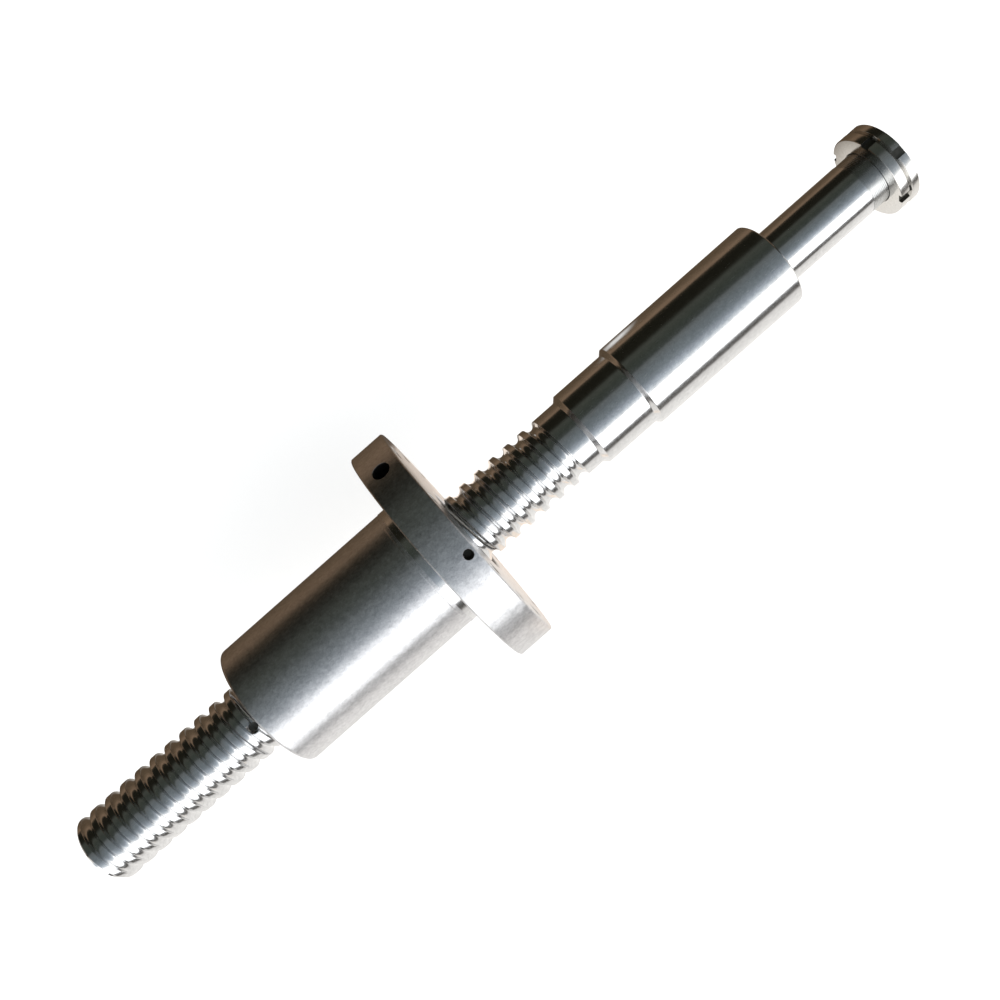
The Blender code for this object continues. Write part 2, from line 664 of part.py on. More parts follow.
def make_clamp_screw(name, place, material):
    """A clamp screw, with its head below the clamp and its shank in the nut."""
    head_seat = POCKET_FLOOR + GAP + CLAMP_THICKNESS + GAP
    shank = CLAMP_SCREW_DIAMETER / 2
    head = CLAMP_SCREW_HEAD / 2
    chamfer = CLAMP_SCREW_HEAD_CHAMFER
    head_end = head_seat + CLAMP_SCREW_HEAD_HEIGHT
    outline = [(POCKET_FLOOR - CLAMP_SCREW_GRIP, shank), (head_seat, shank), (head_seat, head),
               (head_end - chamfer, head), (head_end, head - chamfer)]
    bm = bmesh.new()
    rings = []
    for height, radius in outline:
        ring = []
        for i in range(CLAMP_SCREW_SIDES):
            angle = 2 * math.pi * i / CLAMP_SCREW_SIDES
            across = Vector((math.cos(angle), math.sin(angle), 0)) * radius
            ring.append(bm.verts.new(place + across - Vector((0, 0, height))))
        rings.append(ring)
    for first, second in zip(rings, rings[1:]):
        join_rings(bm, first, second)
    bm.faces.new(rings[0])
    bm.faces.new(rings[-1])
    return add_object(name, bm, material)


def seal_place(side, depth):
    """A place along the axis, from the mouth of the left (-1) or the right (1) seal recess."""
    mouth = NUT_LEFT if side < 0 else NUT_RIGHT
    return mouth - side * depth


def make_spacer(name, side, material):
    """Flat ring between the nut's shoulder and the wiper."""
    floor = SEAL_RECESS_DEPTH - GAP
    near = seal_place(side, floor - SPACER_THICKNESS)
    far = seal_place(side, floor)
    outer = SEAL_RECESS_DIAMETER / 2 - GAP
    bm = bmesh.new()
    turn_ring(bm, [(near, NUT_BORE_RADIUS), (near, outer), (far, outer), (far, NUT_BORE_RADIUS)],
              SEAL_SEGMENTS)
    return add_object(name, bm, material)


def make_wiper(name, side, material):
    """Wiper ring with a lip that tapers to the screw's crest at its outer end."""
    inner = SEAL_RECESS_DEPTH - 2 * GAP - SPACER_THICKNESS
    face = inner - WIPER_WIDTH
    outer = SEAL_RECESS_DIAMETER / 2 - GAP
    lip = SCREW_DIAMETER / 2 + WIPER_LIP_PLAY
    body = lip + WIPER_TAPER
    section = [(inner, outer), (face, outer), (face, lip), (face + WIPER_LIP_WIDTH, lip),
               (face + WIPER_LIP_WIDTH + WIPER_TAPER, body), (inner, body)]
    bm = bmesh.new()
    turn_ring(bm, [(seal_place(side, depth), radius) for depth, radius in section], SEAL_SEGMENTS)
    return add_object(name, bm, material)


def make_snap_ring(name, side, material):
    """Open ring in the groove of the seal recess, with an ear at each end."""
    near = seal_place(side, SEAL_RECESS_LIP + GAP / 2)
    far = seal_place(side, SEAL_RECESS_LIP + GAP / 2 + SNAP_RING_THICKNESS)
    outer = SEAL_RECESS_DIAMETER / 2 + SNAP_RING_SEATING - GAP
    bm = bmesh.new()
    rings = []
    for step in range(SNAP_RING_STEPS + 1):
        turned = (360 - SNAP_RING_OPENING) * step / SNAP_RING_STEPS
        angle = math.radians(-90 + SNAP_RING_OPENING / 2 + turned)
        ear = min(step, SNAP_RING_STEPS - step) < 2
        inner = outer - (SNAP_RING_EAR_WIDTH if ear else SNAP_RING_WIDTH)
        corners = [(near, inner), (near, outer), (far, outer), (far, inner)]
        rings.append([bm.verts.new(on_axis(x, radius, angle)) for x, radius in corners])
    for first, second in zip(rings, rings[1:]):
        join_rings(bm, first, second)
    bm.faces.new(rings[0])
    bm.faces.new(rings[-1])
    return add_object(name, bm, material)


def make_locknut(name, left, left_edge, material):
    """Round nut, chamfered on both faces, with spanner slots in its rim."""
    bore = END_THREAD_DIAMETER / 2 + GAP
    outer = LOCKNUT_DIAMETER / 2
    right = left + LOCKNUT_WIDTH
    right_edge = LOCKNUT_CHAMFER
    bm = bmesh.new()
    turn_ring(bm, [(left, bore), (left, outer - left_edge["across"]),
                   (left + left_edge["along"], outer), (right - right_edge["along"], outer),
                   (right, outer - right_edge["across"]), (right, bore)])
    locknut = add_object(name, bm, material)
    slots = bmesh.new()
    for number in range(LOCKNUT_SLOTS):
        angle = math.radians(LOCKNUT_FIRST_SLOT[name] + 360.0 * number / LOCKNUT_SLOTS)
        size = Vector((2 * LOCKNUT_WIDTH, 2 * LOCKNUT_SLOT_DEPTH, LOCKNUT_SLOT_WIDTH))
        place = Matrix.Rotation(angle, 4, "X") @ Matrix.Translation(((left + right) / 2, outer, 0))
        bmesh.ops.create_cube(slots, size=1.0, matrix=place @ Matrix.Diagonal((*size, 1)))
    cut(locknut, add_cutter(f"{name}_slot_cutter", slots))
    return locknut


def group_under(name, x, members):
    """Parent the members to an empty on the screw's axis."""
    empty = bpy.data.objects.new(name, None)
    empty.location = (x, 0, 0)
    bpy.context.collection.objects.link(empty)
    for member in members:
        member.parent = empty
        member.matrix_parent_inverse = Matrix.Translation((-x, 0, 0))


def main():
    for old in list(bpy.data.objects):
        bpy.data.objects.remove(old)

    ground = make_material("ground_steel", (0.55, 0.56, 0.58), 0.18, 1.0)
    body = make_material("nut_steel", (0.50, 0.50, 0.52), 0.38, 1.0)
    ball = make_material("ball_steel", (0.70, 0.70, 0.72), 0.08, 1.0)
    tube = make_material("tube_steel", (0.62, 0.62, 0.60), 0.30, 1.0)
    clamp = make_material("clamp_steel", (0.45, 0.44, 0.42), 0.35, 1.0)
    bolt = make_material("screw_steel", (0.10, 0.10, 0.11), 0.40, 1.0)
    wiper = make_material("wiper_plastic", (0.78, 0.76, 0.70), 0.55, 0.0)
    spring = make_material("spring_steel", (0.20, 0.20, 0.22), 0.35, 1.0)
    spacer = make_material("spacer_steel", (0.58, 0.58, 0.60), 0.28, 1.0)
    locknut = make_material("locknut_steel", (0.52, 0.50, 0.47), 0.22, 1.0)

    make_screw(ground)
    outer_left = SCREW_RIGHT - LOCKNUT_FROM_END - LOCKNUT_WIDTH
    inner_left = outer_left - GAP - LOCKNUT_WIDTH
    make_locknut("locknut_outer", outer_left, LOCKNUT_CHAMFER, locknut)
    make_locknut("locknut_inner", inner_left, LOCKNUT_CLAMPING_EDGE, locknut)

    members = [make_nut(body)]
    for number in range(CIRCUIT_COUNT):
        members.append(make_balls(number, ball))
        members.append(make_tube(number, tube))
        members.append(make_clamp(number, clamp))
    for index, (number, place) in enumerate(clamp_screw_places()):
        members.append(make_clamp_screw(f"clamp_screw_{index + 1}", place, bolt))
    spacers = []
    for name, side in (("left", -1), ("right", 1)):
        members.append(make_wiper(f"wiper_{name}", side, wiper))
        members.append(make_snap_ring(f"snap_ring_{name}", side, spring))
        spacers.append(make_spacer(f"wiper_spacer_{name}", side, spacer))
    group_under("nut_axis", FLANGE_LEFT, members)
    group_under("spacer_axis", FLANGE_LEFT, spacers)


main()
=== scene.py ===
"""Ball screw lying on a white floor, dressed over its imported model.

Metres.  The screw lies along X with its locknut end at +X.  Angles about the axis start at +Y and
turn towards +Z.
"""
import math

import bmesh
import bpy
from mathutils import Matrix, Vector


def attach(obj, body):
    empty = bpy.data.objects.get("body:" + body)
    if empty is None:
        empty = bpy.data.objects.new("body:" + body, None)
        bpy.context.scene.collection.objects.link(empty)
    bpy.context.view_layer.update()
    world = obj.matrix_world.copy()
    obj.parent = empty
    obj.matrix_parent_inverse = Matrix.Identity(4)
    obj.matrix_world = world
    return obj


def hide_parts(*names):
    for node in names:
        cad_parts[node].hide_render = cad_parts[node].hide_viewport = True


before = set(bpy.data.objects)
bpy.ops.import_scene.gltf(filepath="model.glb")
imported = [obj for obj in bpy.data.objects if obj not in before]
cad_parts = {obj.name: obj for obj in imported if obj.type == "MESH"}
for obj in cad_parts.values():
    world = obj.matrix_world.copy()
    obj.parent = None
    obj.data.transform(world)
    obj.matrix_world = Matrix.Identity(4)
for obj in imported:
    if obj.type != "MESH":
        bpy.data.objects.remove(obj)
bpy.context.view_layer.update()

# Ball groove
LEAD = 0.016
SCREW_RADIUS = 0.0315
BALL_RADIUS = 0.00516
BALL_PITCH = 0.0105
BALL_CIRCLE = 0.03205
GROOVE_RADIUS = 0.00537
GROOVE_AT_TOP = 0.01285
GROOVE_EDGE = 0.0007
FLANK_STEPS = 9
SEGMENTS = 96
SNAP = 2e-6
MERGE = 1e-7

# Shaft sections along the axis
SCREW_LEFT = -0.42785
THREAD_END = 0.07155
RUN_OUT = 0.004
PLAIN_START = 0.082
COLLAR_LEFT = 0.09345
SEAT_LEFT = 0.14535
JOURNAL_LEFT = 0.29885
END_THREAD_LEFT = 0.38965
SCREW_RIGHT = 0.42785
COLLAR_RADIUS = 0.0355
SEAT_RADIUS = 0.0393
JOURNAL_RADIUS = 0.0244
END_THREAD_RADIUS = 0.024
END_THREAD_PITCH = 0.0015
END_THREAD_DEPTH = 0.0003
END_THREAD_START = END_THREAD_LEFT + 0.0014
LEFT_CHAMFER = 0.0018
SEAT_CHAMFER = 0.0015
STOP_HOLE_FROM_NUT = 0.012
STOP_HOLE_ANGLE = 99.0
STOP_HOLE_RADIUS = 0.00375
STOP_HOLE_DEPTH = 0.010
STOP_HOLE_MOUTH = 0.00575
STOP_HOLE_SINK = 0.002
# Depth and radius from the mouth of a centre hole to its bottom
CENTRE_HOLE = ((0, 0.0075), (0.0006, 0.0070), (0.0050, 0.0025), (0.0080, 0.0020))

# Roundings of turned edges, from hardly broken to soft
KEEN = 0.0001
FINE = 0.0002
DULL = 0.0003
SOFT = 0.0004

# Nut
NUT_LEFT = -0.24915
NUT_RIGHT = -0.03205
NUT_RADIUS = 0.05775
NUT_CORNER = 0.0035
NUT_CORNER_STEPS = 8
NUT_BORE = 0.033
PILOT_RADIUS = 0.05815
PILOT_LEFT = -0.07835
PILOT_RAMP = 0.0006
POLISHED_LEFT = -0.0752
UNDERCUT_DEPTH = 0.0006
UNDERCUT_WIDTH = 0.0020
UNDERCUT_START = 0.0026
FLANGE_LEFT = -0.06485
FLANGE_RADIUS = 0.1055
FLANGE_MIDDLE = (FLANGE_LEFT + NUT_RIGHT) / 2
RECESS_RADIUS = 0.042
RECESS_DEPTH = 0.0154
SNAP_GROOVE_RADIUS = RECESS_RADIUS + 0.0016
SNAP_GROOVE_NEAR = 0.0025
SNAP_GROOVE_FAR = 0.0048
NUT_CHAMFER = 0.0010
BOLT_CIRCLE = 0.0895
BOLT_RADIUS = 0.00675
BOLT_COUNT = 8
BOLT_FIRST_ANGLE = 112.5
JACK_RADIUS = 0.00525
JACK_ANGLES = (135.0, -45.0)
# Place along the axis, angle, radius and depth of the two ports in the flange's rim
RIM_PORTS = ((FLANGE_MIDDLE, 43.3, 0.00775, 0.030), (NUT_RIGHT - 0.0067, 97.4, 0.004, 0.016))
EDGE_BREAK = 0.0005

# Return tubes
CIRCUIT_TURNS = 2.5
CIRCUIT_STARTS = (-0.21115, -0.14715)
TUBE_BORE = 0.00546
TUBE_RADIUS = 0.00636
TUBE_BEND = 0.024
SLOT_RADIUS = 0.00671
POCKET_FLOOR = 0.03961
TUBE_RUN = POCKET_FLOOR + SLOT_RADIUS
TUBE_HOLE_OVERRUN = 0.001
CLAMP_THICKNESS = 0.001
CLAMP_HALF_LENGTH = 0.0237
CLAMP_HALF_WIDTH = 0.006
CLAMP_BEND = 0.001
CLAMP_SCREW_OFFSET = 0.0187
CLAMP_HOLE_RADIUS = 0.0023
CLAMP_HOLE_DEPTH = 0.0038
SHANK_RADIUS = 0.0020
SHANK_GRIP = 0.0035
HEAD_RADIUS = 0.0035
SOCKET_RADIUS = 0.0017
SOCKET_FLOOR = 0.0009
GAP = 0.0003

CIRCUIT_LENGTH = CIRCUIT_TURNS * LEAD
TUBE_SPAN = math.hypot(CIRCUIT_LENGTH, 2 * BALL_CIRCLE)
TUBE_ALONG = Vector((CIRCUIT_LENGTH, -2 * BALL_CIRCLE, 0)).normalized()
TUBE_ACROSS = Vector((0, 0, 1)).cross(TUBE_ALONG)

# Seals at the nut's ends; depths are from the nut's face
SPACER_THICKNESS = 0.002
WIPER_WIDTH = 0.008
LIP_PLAY = 0.0006
LIP_WIDTH = 0.0013
LIP_TAPER = 0.0027
SNAP_RING_DEPTHS = (0.00265, 0.00465)
SNAP_RING_SEATING = 0.0013
SNAP_RING_WIDTH = 0.0048
SNAP_RING_EAR = 0.0029
SNAP_RING_OPENING = math.radians(40.0)
SNAP_RING_STEPS = 120
EYE_RADIUS = 0.0012
EYE_FROM_RIM = 0.0050
EYE_FROM_END = math.radians(3.6)

# Locknuts
LOCKNUT_RADIUS = 0.0378
LOCKNUT_WIDTH = 0.0102
LOCKNUT_INNER_LEFT = 0.40615
LOCKNUT_OUTER_LEFT = 0.41665
# Edges along and across
CLAMPING_EDGE = (0.0006, 0.0006)
FREE_EDGE = (0.0016, 0.0040)
SLOT_SIZE = (0.019, 0.0064, 0.0075)
SLOT_COUNT = 4
SLOTTED_FROM = 0.030


# Mesh helpers

def on_axis(x, radius, angle):
    return Vector((x, radius * math.cos(angle), radius * math.sin(angle)))


def add_ring(bm, x, radii):
    step = 2 * math.pi / len(radii)
    return [bm.verts.new(on_axis(x, radius, step * i)) for i, radius in enumerate(radii)]


def join_rings(bm, first, second):
    count = len(first)
    for i in range(count):
        j = (i + 1) % count
        bm.faces.new((first[i], first[j], second[j], second[i]))


def chain_rings(bm, rings, closed=False):
    for first, second in zip(rings, rings[1:]):
        join_rings(bm, first, second)
    if closed:
        join_rings(bm, rings[-1], rings[0])


def soft_corner(start, corner, end):
    """Four points round a corner, from a start before it to an end after it."""
    points = []
    for step in range(4):
        t = step / 3
        point = start * (1 - t) ** 2 + corner * 2 * t * (1 - t) + end * t ** 2
        points.append((point.x, point.y))
    return points


def round_corners(points, closed=False):
    """Round the corners of an outline of (x, radius, fillet) points."""
    result = []
    count = len(points)
    for i, (x, r, fillet) in enumerate(points):
        here = Vector((x, r))
        if fillet == 0 or (not closed and i in (0, count - 1)):
            result.append((x, r))
            continue
        before = Vector(points[i - 1][:2])
        after = Vector(points[(i + 1) % count][:2])
        start = here + (before - here).normalized() * fillet
        end = here + (after - here).normalized() * fillet
        result += soft_corner(start, here, end)
    return result


def add_piece(name, bm, material, body, nodes, sharp_angle=30.0):
    """Finish a mesh as a named piece that rides on a body and stands for its nodes."""
    bmesh.ops.recalc_face_normals(bm, faces=bm.faces)
    mesh = bpy.data.meshes.new(name)
    bm.to_mesh(mesh)
    bm.free()
    piece = bpy.data.objects.new(name, mesh)
    bpy.context.scene.collection.objects.link(piece)
    mesh.materials.append(material)
    shade(piece, sharp_angle)
    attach(piece, body)
    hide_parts(*nodes)
    return piece


def shade(piece, sharp_angle):
    piece.data.shade_smooth()
    piece.data.set_sharp_from_angle(angle=math.radians(sharp_angle))


def cut_away(piece, cutters, sharp_angle=30.0):
    """Cut closed meshes out of a piece and keep the result as its mesh."""
    tools = []
    for index, bm in enumerate(cutters):
        bmesh.ops.recalc_face_normals(bm, faces=bm.faces)
        mesh = bpy.data.meshes.new("tool")
        bm.to_mesh(mesh)
        bm.free()
        tool = bpy.data.objects.new("tool", mesh)
        bpy.context.scene.collection.objects.link(tool)
        modifier = piece.modifiers.new(f"cut_{index}", "BOOLEAN")
        modifier.operation = "DIFFERENCE"
        modifier.solver = "MANIFOLD"
        modifier.object = tool
        tools.append(tool)
    bpy.context.view_layer.update()
    shaped = piece.evaluated_get(bpy.context.evaluated_depsgraph_get())
    mesh = bpy.data.meshes.new_from_object(shaped)
    piece.modifiers.clear()
    piece.data = mesh
    for tool in tools:
        bpy.data.objects.remove(tool)
    shade(piece, sharp_angle)


def add_cylinder(bm, radius, start, end, segments=48, end_radius=None):
    direction = end - start
    turn = direction.to_track_quat("Z", "Y").to_matrix().to_4x4()
    place = Matrix.Translation((start + end) / 2) @ turn
    bmesh.ops.create_cone(bm, cap_ends=True, segments=segments, radius1=radius,
                          radius2=radius if end_radius is None else end_radius,
                          depth=direction.length, matrix=place)


def add_finish(piece, finish):
    """Give the piece one more material and return its number."""
    piece.data.materials.append(finish)
    return len(piece.data.materials) - 1


def paint_hole_shade(piece, number, radius, start, end):
    """Give the wall and the bottom of a drilled hole the piece's material of that number, which paints
    shade there.
    """
    direction = (end - start).normalized()
    depth = (end - start).length
    for face in piece.data.polygons:
        along = (face.center - start).dot(direction)
        across = (face.center - start - direction * along).length
        if -0.001 < along < depth and across < radius * 1.002:
            face.material_index = number


def drilled(radius, start, end, break_edge, segments=48):
    """A drill with a cone at its end, which breaks the edge of the hole's mouth at that point."""
    drill = bmesh.new()
    outward = (end - start).normalized()
    add_cylinder(drill, radius, start, end + outward * break_edge, segments)
    cone = bmesh.new()
    add_cylinder(cone, radius - break_edge, end - outward * 2 * break_edge,
                 end + outward * break_edge, segments, radius + 2 * break_edge)
    return [drill, cone]


# Threads

def half_groove(sign):
    """One flank of the pointed ball groove, from its bottom to its rounded edge, as (offset, radius)."""
    shift = (GROOVE_RADIUS - BALL_RADIUS) * math.sin(math.pi / 4)
    centre = BALL_CIRCLE - sign * shift
    low = math.asin(shift / GROOVE_RADIUS)
    land = SCREW_RADIUS if sign < 0 else NUT_BORE
    high = math.acos(abs(land - centre) / GROOVE_RADIUS)
    flank = []
    for step in range(FLANK_STEPS + 1):
        angle = low + (high - low) * step / FLANK_STEPS
        flank.append((GROOVE_RADIUS * math.sin(angle) - shift,
                      centre + sign * GROOVE_RADIUS * math.cos(angle)))
    return flank, land


def groove_profile(sign):
    """One lead of the groove; sign is -1 on the screw and 1 in the nut."""
    flank, land = half_groove(sign)
    edge_offset, edge_radius = flank[-1]
    before_offset, before_radius = flank[-2]
    slope = Vector((edge_offset - before_offset, edge_radius - before_radius)).normalized()
    start = Vector((edge_offset, land)) - slope * GROOVE_EDGE
    end = Vector((edge_offset + GROOVE_EDGE, land))
    side = flank[:-1] + soft_corner(start, Vector((edge_offset, land)), end)
    return [(-x, r) for x, r in reversed(side)] + side[1:]


def radius_on_line(line, x):
    for (x_a, r_a), (x_b, r_b) in zip(line, line[1:]):
        if x_a <= x <= x_b:
            return r_a + (r_b - r_a) * (x - x_a) / (x_b - x_a)
    return line[-1][1]


def wind_thread(bm, profile, lead, at_top, x_low, x_high, segments, fade=None):
    """Wind one lead's profile along the axis, and give back the rings at its two ends."""
    first = math.floor((x_low - at_top) / lead) - 2
    last = math.ceil((x_high - at_top) / lead) + 2
    land = profile[0][1]
    lines = []
    for i in range(segments):
        line = []
        for turn in range(first, last + 1):
            middle = at_top + lead * (turn + i / segments)
            share = 1.0
            if fade:
                share = min(1.0, max(0.0, (fade[0] - middle) / fade[1]))
            for offset, radius in profile:
                line.append((middle + offset, land + (radius - land) * share))
        low = (x_low, radius_on_line(line, x_low))
        high = (x_high, radius_on_line(line, x_high))
        angle = 2 * math.pi * i / segments
        verts = []
        for x, radius in line:
            if x < x_low + SNAP:
                x, radius = low
            elif x > x_high - SNAP:
                x, radius = high
            verts.append(bm.verts.new(on_axis(x, radius, angle)))
        lines.append(verts)
    for i, line in enumerate(lines):
        shift = len(profile) if i == segments - 1 else 0
        beside = lines[(i + 1) % segments]
        for j in range(len(line) - 1 - shift):
            bm.faces.new((line[j], line[j + 1], beside[j + 1 + shift], beside[j + shift]))
    bmesh.ops.remove_doubles(bm, verts=bm.verts, dist=MERGE)
    return [end_ring(bm, x) for x in (x_low, x_high)]


def end_ring(bm, x):
    """The vertices at one place along the axis, in their order round it."""
    ring = [vert for vert in bm.verts if abs(vert.co.x - x) < SNAP / 2]
    full = 2 * math.pi - SNAP
    return sorted(ring, key=lambda vert: math.atan2(vert.co.z, vert.co.y) % full)


# Materials

def fill_ramp(node, stops):
    """Set a colour ramp's stops, the first at 0 and the last at 1."""
    elements = node.color_ramp.elements
    elements[0].color = (*stops[0][1], 1)
    elements[1].color = (*stops[-1][1], 1)
    for position, colour in stops[1:-1]:
        elements.new(position).color = (*colour, 1)


class Finish:
    """A material's node tree, built up from a few kinds of texture."""

    def __init__(self, name):
        self.material = bpy.data.materials.new(name)
        self.material.use_nodes = True
        self.nodes = self.material.node_tree.nodes
        self.links = self.material.node_tree.links
        self.shader = self.nodes["Principled BSDF"]
        self.place = self.nodes.new("ShaderNodeTexCoord").outputs["Object"]

    def noise(self, scale, stretch=(1, 1, 1), detail=3.0, roughness=0.55, turn=0.0):
        mapping = self.nodes.new("ShaderNodeMapping")
        mapping.inputs["Scale"].default_value = stretch
        mapping.inputs["Rotation"].default_value = (0, 0, turn)
        self.links.new(self.place, mapping.inputs["Vector"])
        texture = self.nodes.new("ShaderNodeTexNoise")
        texture.inputs["Scale"].default_value = scale
        texture.inputs["Detail"].default_value = detail
        texture.inputs["Roughness"].default_value = roughness
        self.links.new(mapping.outputs["Vector"], texture.inputs["Vector"])
        return texture.outputs["Fac"]

    def ramp(self, value, low, high, first=0.0, last=1.0):
        node = self.nodes.new("ShaderNodeMapRange")
        node.inputs["From Min"].default_value = low
        node.inputs["From Max"].default_value = high
        node.inputs["To Min"].default_value = first
        node.inputs["To Max"].default_value = last
        self.links.new(value, node.inputs["Value"])
        return node.outputs["Result"]

    def math(self, operation, first, second):
        node = self.nodes.new("ShaderNodeMath")
        node.operation = operation
        for socket, value in zip(node.inputs, (first, second)):
            if isinstance(value, (int, float)):
                socket.default_value = value
            else:
                self.links.new(value, socket)
        return node.outputs[0]

    def mix(self, share, first, second):
        node = self.nodes.new("ShaderNodeMix")
        node.data_type = "RGBA"
        self.links.new(share, node.inputs["Factor"])
        for socket, colour in ((node.inputs["A"], first), (node.inputs["B"], second)):
            if isinstance(colour, tuple):
                socket.default_value = (*colour, 1.0)
            else:
                self.links.new(colour, socket)
        return node.outputs["Result"]

    def colours(self, value, stops):
        node = self.nodes.new("ShaderNodeValToRGB")
        fill_ramp(node, stops)
        self.links.new(value, node.inputs["Fac"])
        return node.outputs["Color"]

    def bump(self, height, distance, strength, below=None):
        node = self.nodes.new("ShaderNodeBump")
        node.inputs["Strength"].default_value = strength
        node.inputs["Distance"].default_value = distance
        self.links.new(height, node.inputs["Height"])
        if below is not None:
            self.links.new(below, node.inputs["Normal"])
        return node.outputs["Normal"]

    def connect(self, colour, roughness, normal):
        self.links.new(colour, self.shader.inputs["Base Color"])
        self.links.new(roughness, self.shader.inputs["Roughness"])
        self.links.new(normal, self.shader.inputs["Normal"])


def steel(name, light, dark, roughness, spread, lines, line_depth, specks=0.45, anisotropy=0.0,
          grain=0.0, mottled=1.0):
    """Turned or ground steel: fine lines round the axis, faint smears, specks and scratches.

    The scales of the textures are in waves per metre.
    """
    finish = Finish(name)
    finish.shader.inputs["Metallic"].default_value = 1.0
    finish.shader.inputs["Anisotropic"].default_value = anisotropy
    if anisotropy:
        tangent = finish.nodes.new("ShaderNodeTangent")
        tangent.direction_type = "RADIAL"
        tangent.axis = "X"
        finish.links.new(tangent.outputs["Tangent"], finish.shader.inputs["Tangent"])
    fine = finish.noise(1.0, (lines, 14, 14), 4.0, 0.7)
    smear = finish.noise(1.0, (24, 60, 60), 4.0, 0.6)
    patch = finish.noise(9.0, (1, 1, 1), 5.0, 0.62)
    mottle = finish.noise(260.0, (0.7, 1, 1), 3.0, 1.0)
    speck = finish.ramp(finish.noise(520.0, (1, 1, 1), 2.0, 0.5), 0.70, 0.78)
    scratch = finish.ramp(finish.noise(1.0, (70, 900, 500), 2.0, 0.5, 0.6), 0.70, 0.76)
    worn = finish.math("MULTIPLY", finish.math("ADD", speck, scratch), specks)
    tone = finish.math("MULTIPLY", finish.math("ADD", smear, patch), 0.5)
    tone = finish.math("ADD", tone, finish.math("MULTIPLY", mottle, mottled))
    tone = finish.ramp(tone, 0.35 + mottled * 0.4, 0.65 + mottled * 0.6)
    colour = finish.mix(tone, dark, light)
    colour = finish.mix(worn, colour, tuple(part * 0.8 for part in dark))
    rough = finish.ramp(finish.math("ADD", fine, mottle), 0.6, 1.4, roughness - spread,
                        roughness + spread)
    rough = finish.math("ADD", rough, finish.math("MULTIPLY", worn, 0.4))
    normal = finish.bump(fine, 0.00002, line_depth)
    if grain:
        normal = finish.bump(finish.noise(650.0, (1, 1, 1), 2.0, 0.7), 0.00012, grain, normal)
    normal = finish.bump(scratch, 0.00002, 0.3, normal)
    finish.connect(colour, rough, normal)
    return finish.material


def plastic(name, light, dark, roughness):
    """Moulded plastic with a fine grain and faint mottling."""
    finish = Finish(name)
    patch = finish.noise(60.0, (1, 1, 1), 4.0, 0.6)
    grain = finish.noise(1800.0, (1, 1, 1), 2.0, 0.5)
    colour = finish.mix(finish.ramp(patch, 0.35, 0.65), dark, light)
    rough = finish.ramp(grain, 0.3, 0.7, roughness - 0.08, roughness + 0.08)
    finish.connect(colour, rough, finish.bump(grain, 0.00005, 0.4))
    return finish.material


GROUND = steel("ground_steel_finish", (0.78, 0.785, 0.79), (0.62, 0.625, 0.63), 0.15, 0.05, 5000, 0.20,
               anisotropy=0.3, mottled=1.5)
NUT = steel("nut_steel_finish", (0.83, 0.83, 0.84), (0.57, 0.57, 0.58), 0.34, 0.08, 3500, 0.20,
            specks=0.25, grain=1.0, mottled=2.0)
END_THREAD = steel("end_thread_finish", (0.60, 0.61, 0.61), (0.46, 0.47, 0.47), 0.24, 0.05, 5000, 0.20)
# Very dark steel for the walls and bottoms of holes and the locknuts' slots: its dark colour is painted
# shade in these recesses, while its roughness is the drilled and milled surfaces' own.
HOLE_SHADE_STEEL = steel("painted_hole_shade_steel", (0.20, 0.19, 0.17), (0.12, 0.115, 0.10), 0.42, 0.08, 900, 0.2)
LOCKNUT = steel("locknut_steel_finish", (0.74, 0.73, 0.71), (0.62, 0.61, 0.59), 0.19, 0.06, 4500, 0.4)
BALL = steel("ball_steel_finish", (0.80, 0.80, 0.80), (0.74, 0.74, 0.74), 0.06, 0.02, 300, 0.0,
             specks=0.1)
TUBE = steel("tube_steel_finish", (0.68, 0.67, 0.64), (0.56, 0.55, 0.52), 0.28, 0.06, 300, 0.15)
CLAMP = steel("clamp_steel_finish", (0.58, 0.57, 0.55), (0.44, 0.43, 0.41), 0.36, 0.07, 300, 0.15,
              grain=0.2)
BOLT = steel("screw_steel_finish", (0.14, 0.14, 0.15), (0.08, 0.08, 0.09), 0.42, 0.08, 300, 0.1,
             grain=0.2)
SPRING = steel("spring_steel_finish", (0.26, 0.26, 0.28), (0.16, 0.16, 0.18), 0.36, 0.08, 300, 0.1,
               grain=0.2)
SPACER = steel("spacer_steel_finish", (0.66, 0.66, 0.66), (0.55, 0.55, 0.55), 0.28, 0.05, 2500, 0.3)
WIPER = plastic("wiper_plastic_finish", (0.80, 0.77, 0.70), (0.72, 0.69, 0.62), 0.5)


# Shaft

def add_left_end(bm, thread_ring):
    """The screw's left chamfer, face and centre hole."""
    chamfered = SCREW_RADIUS - LEFT_CHAMFER
    inner = [min(math.hypot(vert.co.y, vert.co.z), chamfered) for vert in thread_ring]
    rings = [thread_ring, add_ring(bm, SCREW_LEFT, inner)]
    for depth, radius in CENTRE_HOLE:
        rings.append(add_ring(bm, SCREW_LEFT + depth, [radius] * SEGMENTS))
    chain_rings(bm, rings)
    bm.faces.new(rings[-1])


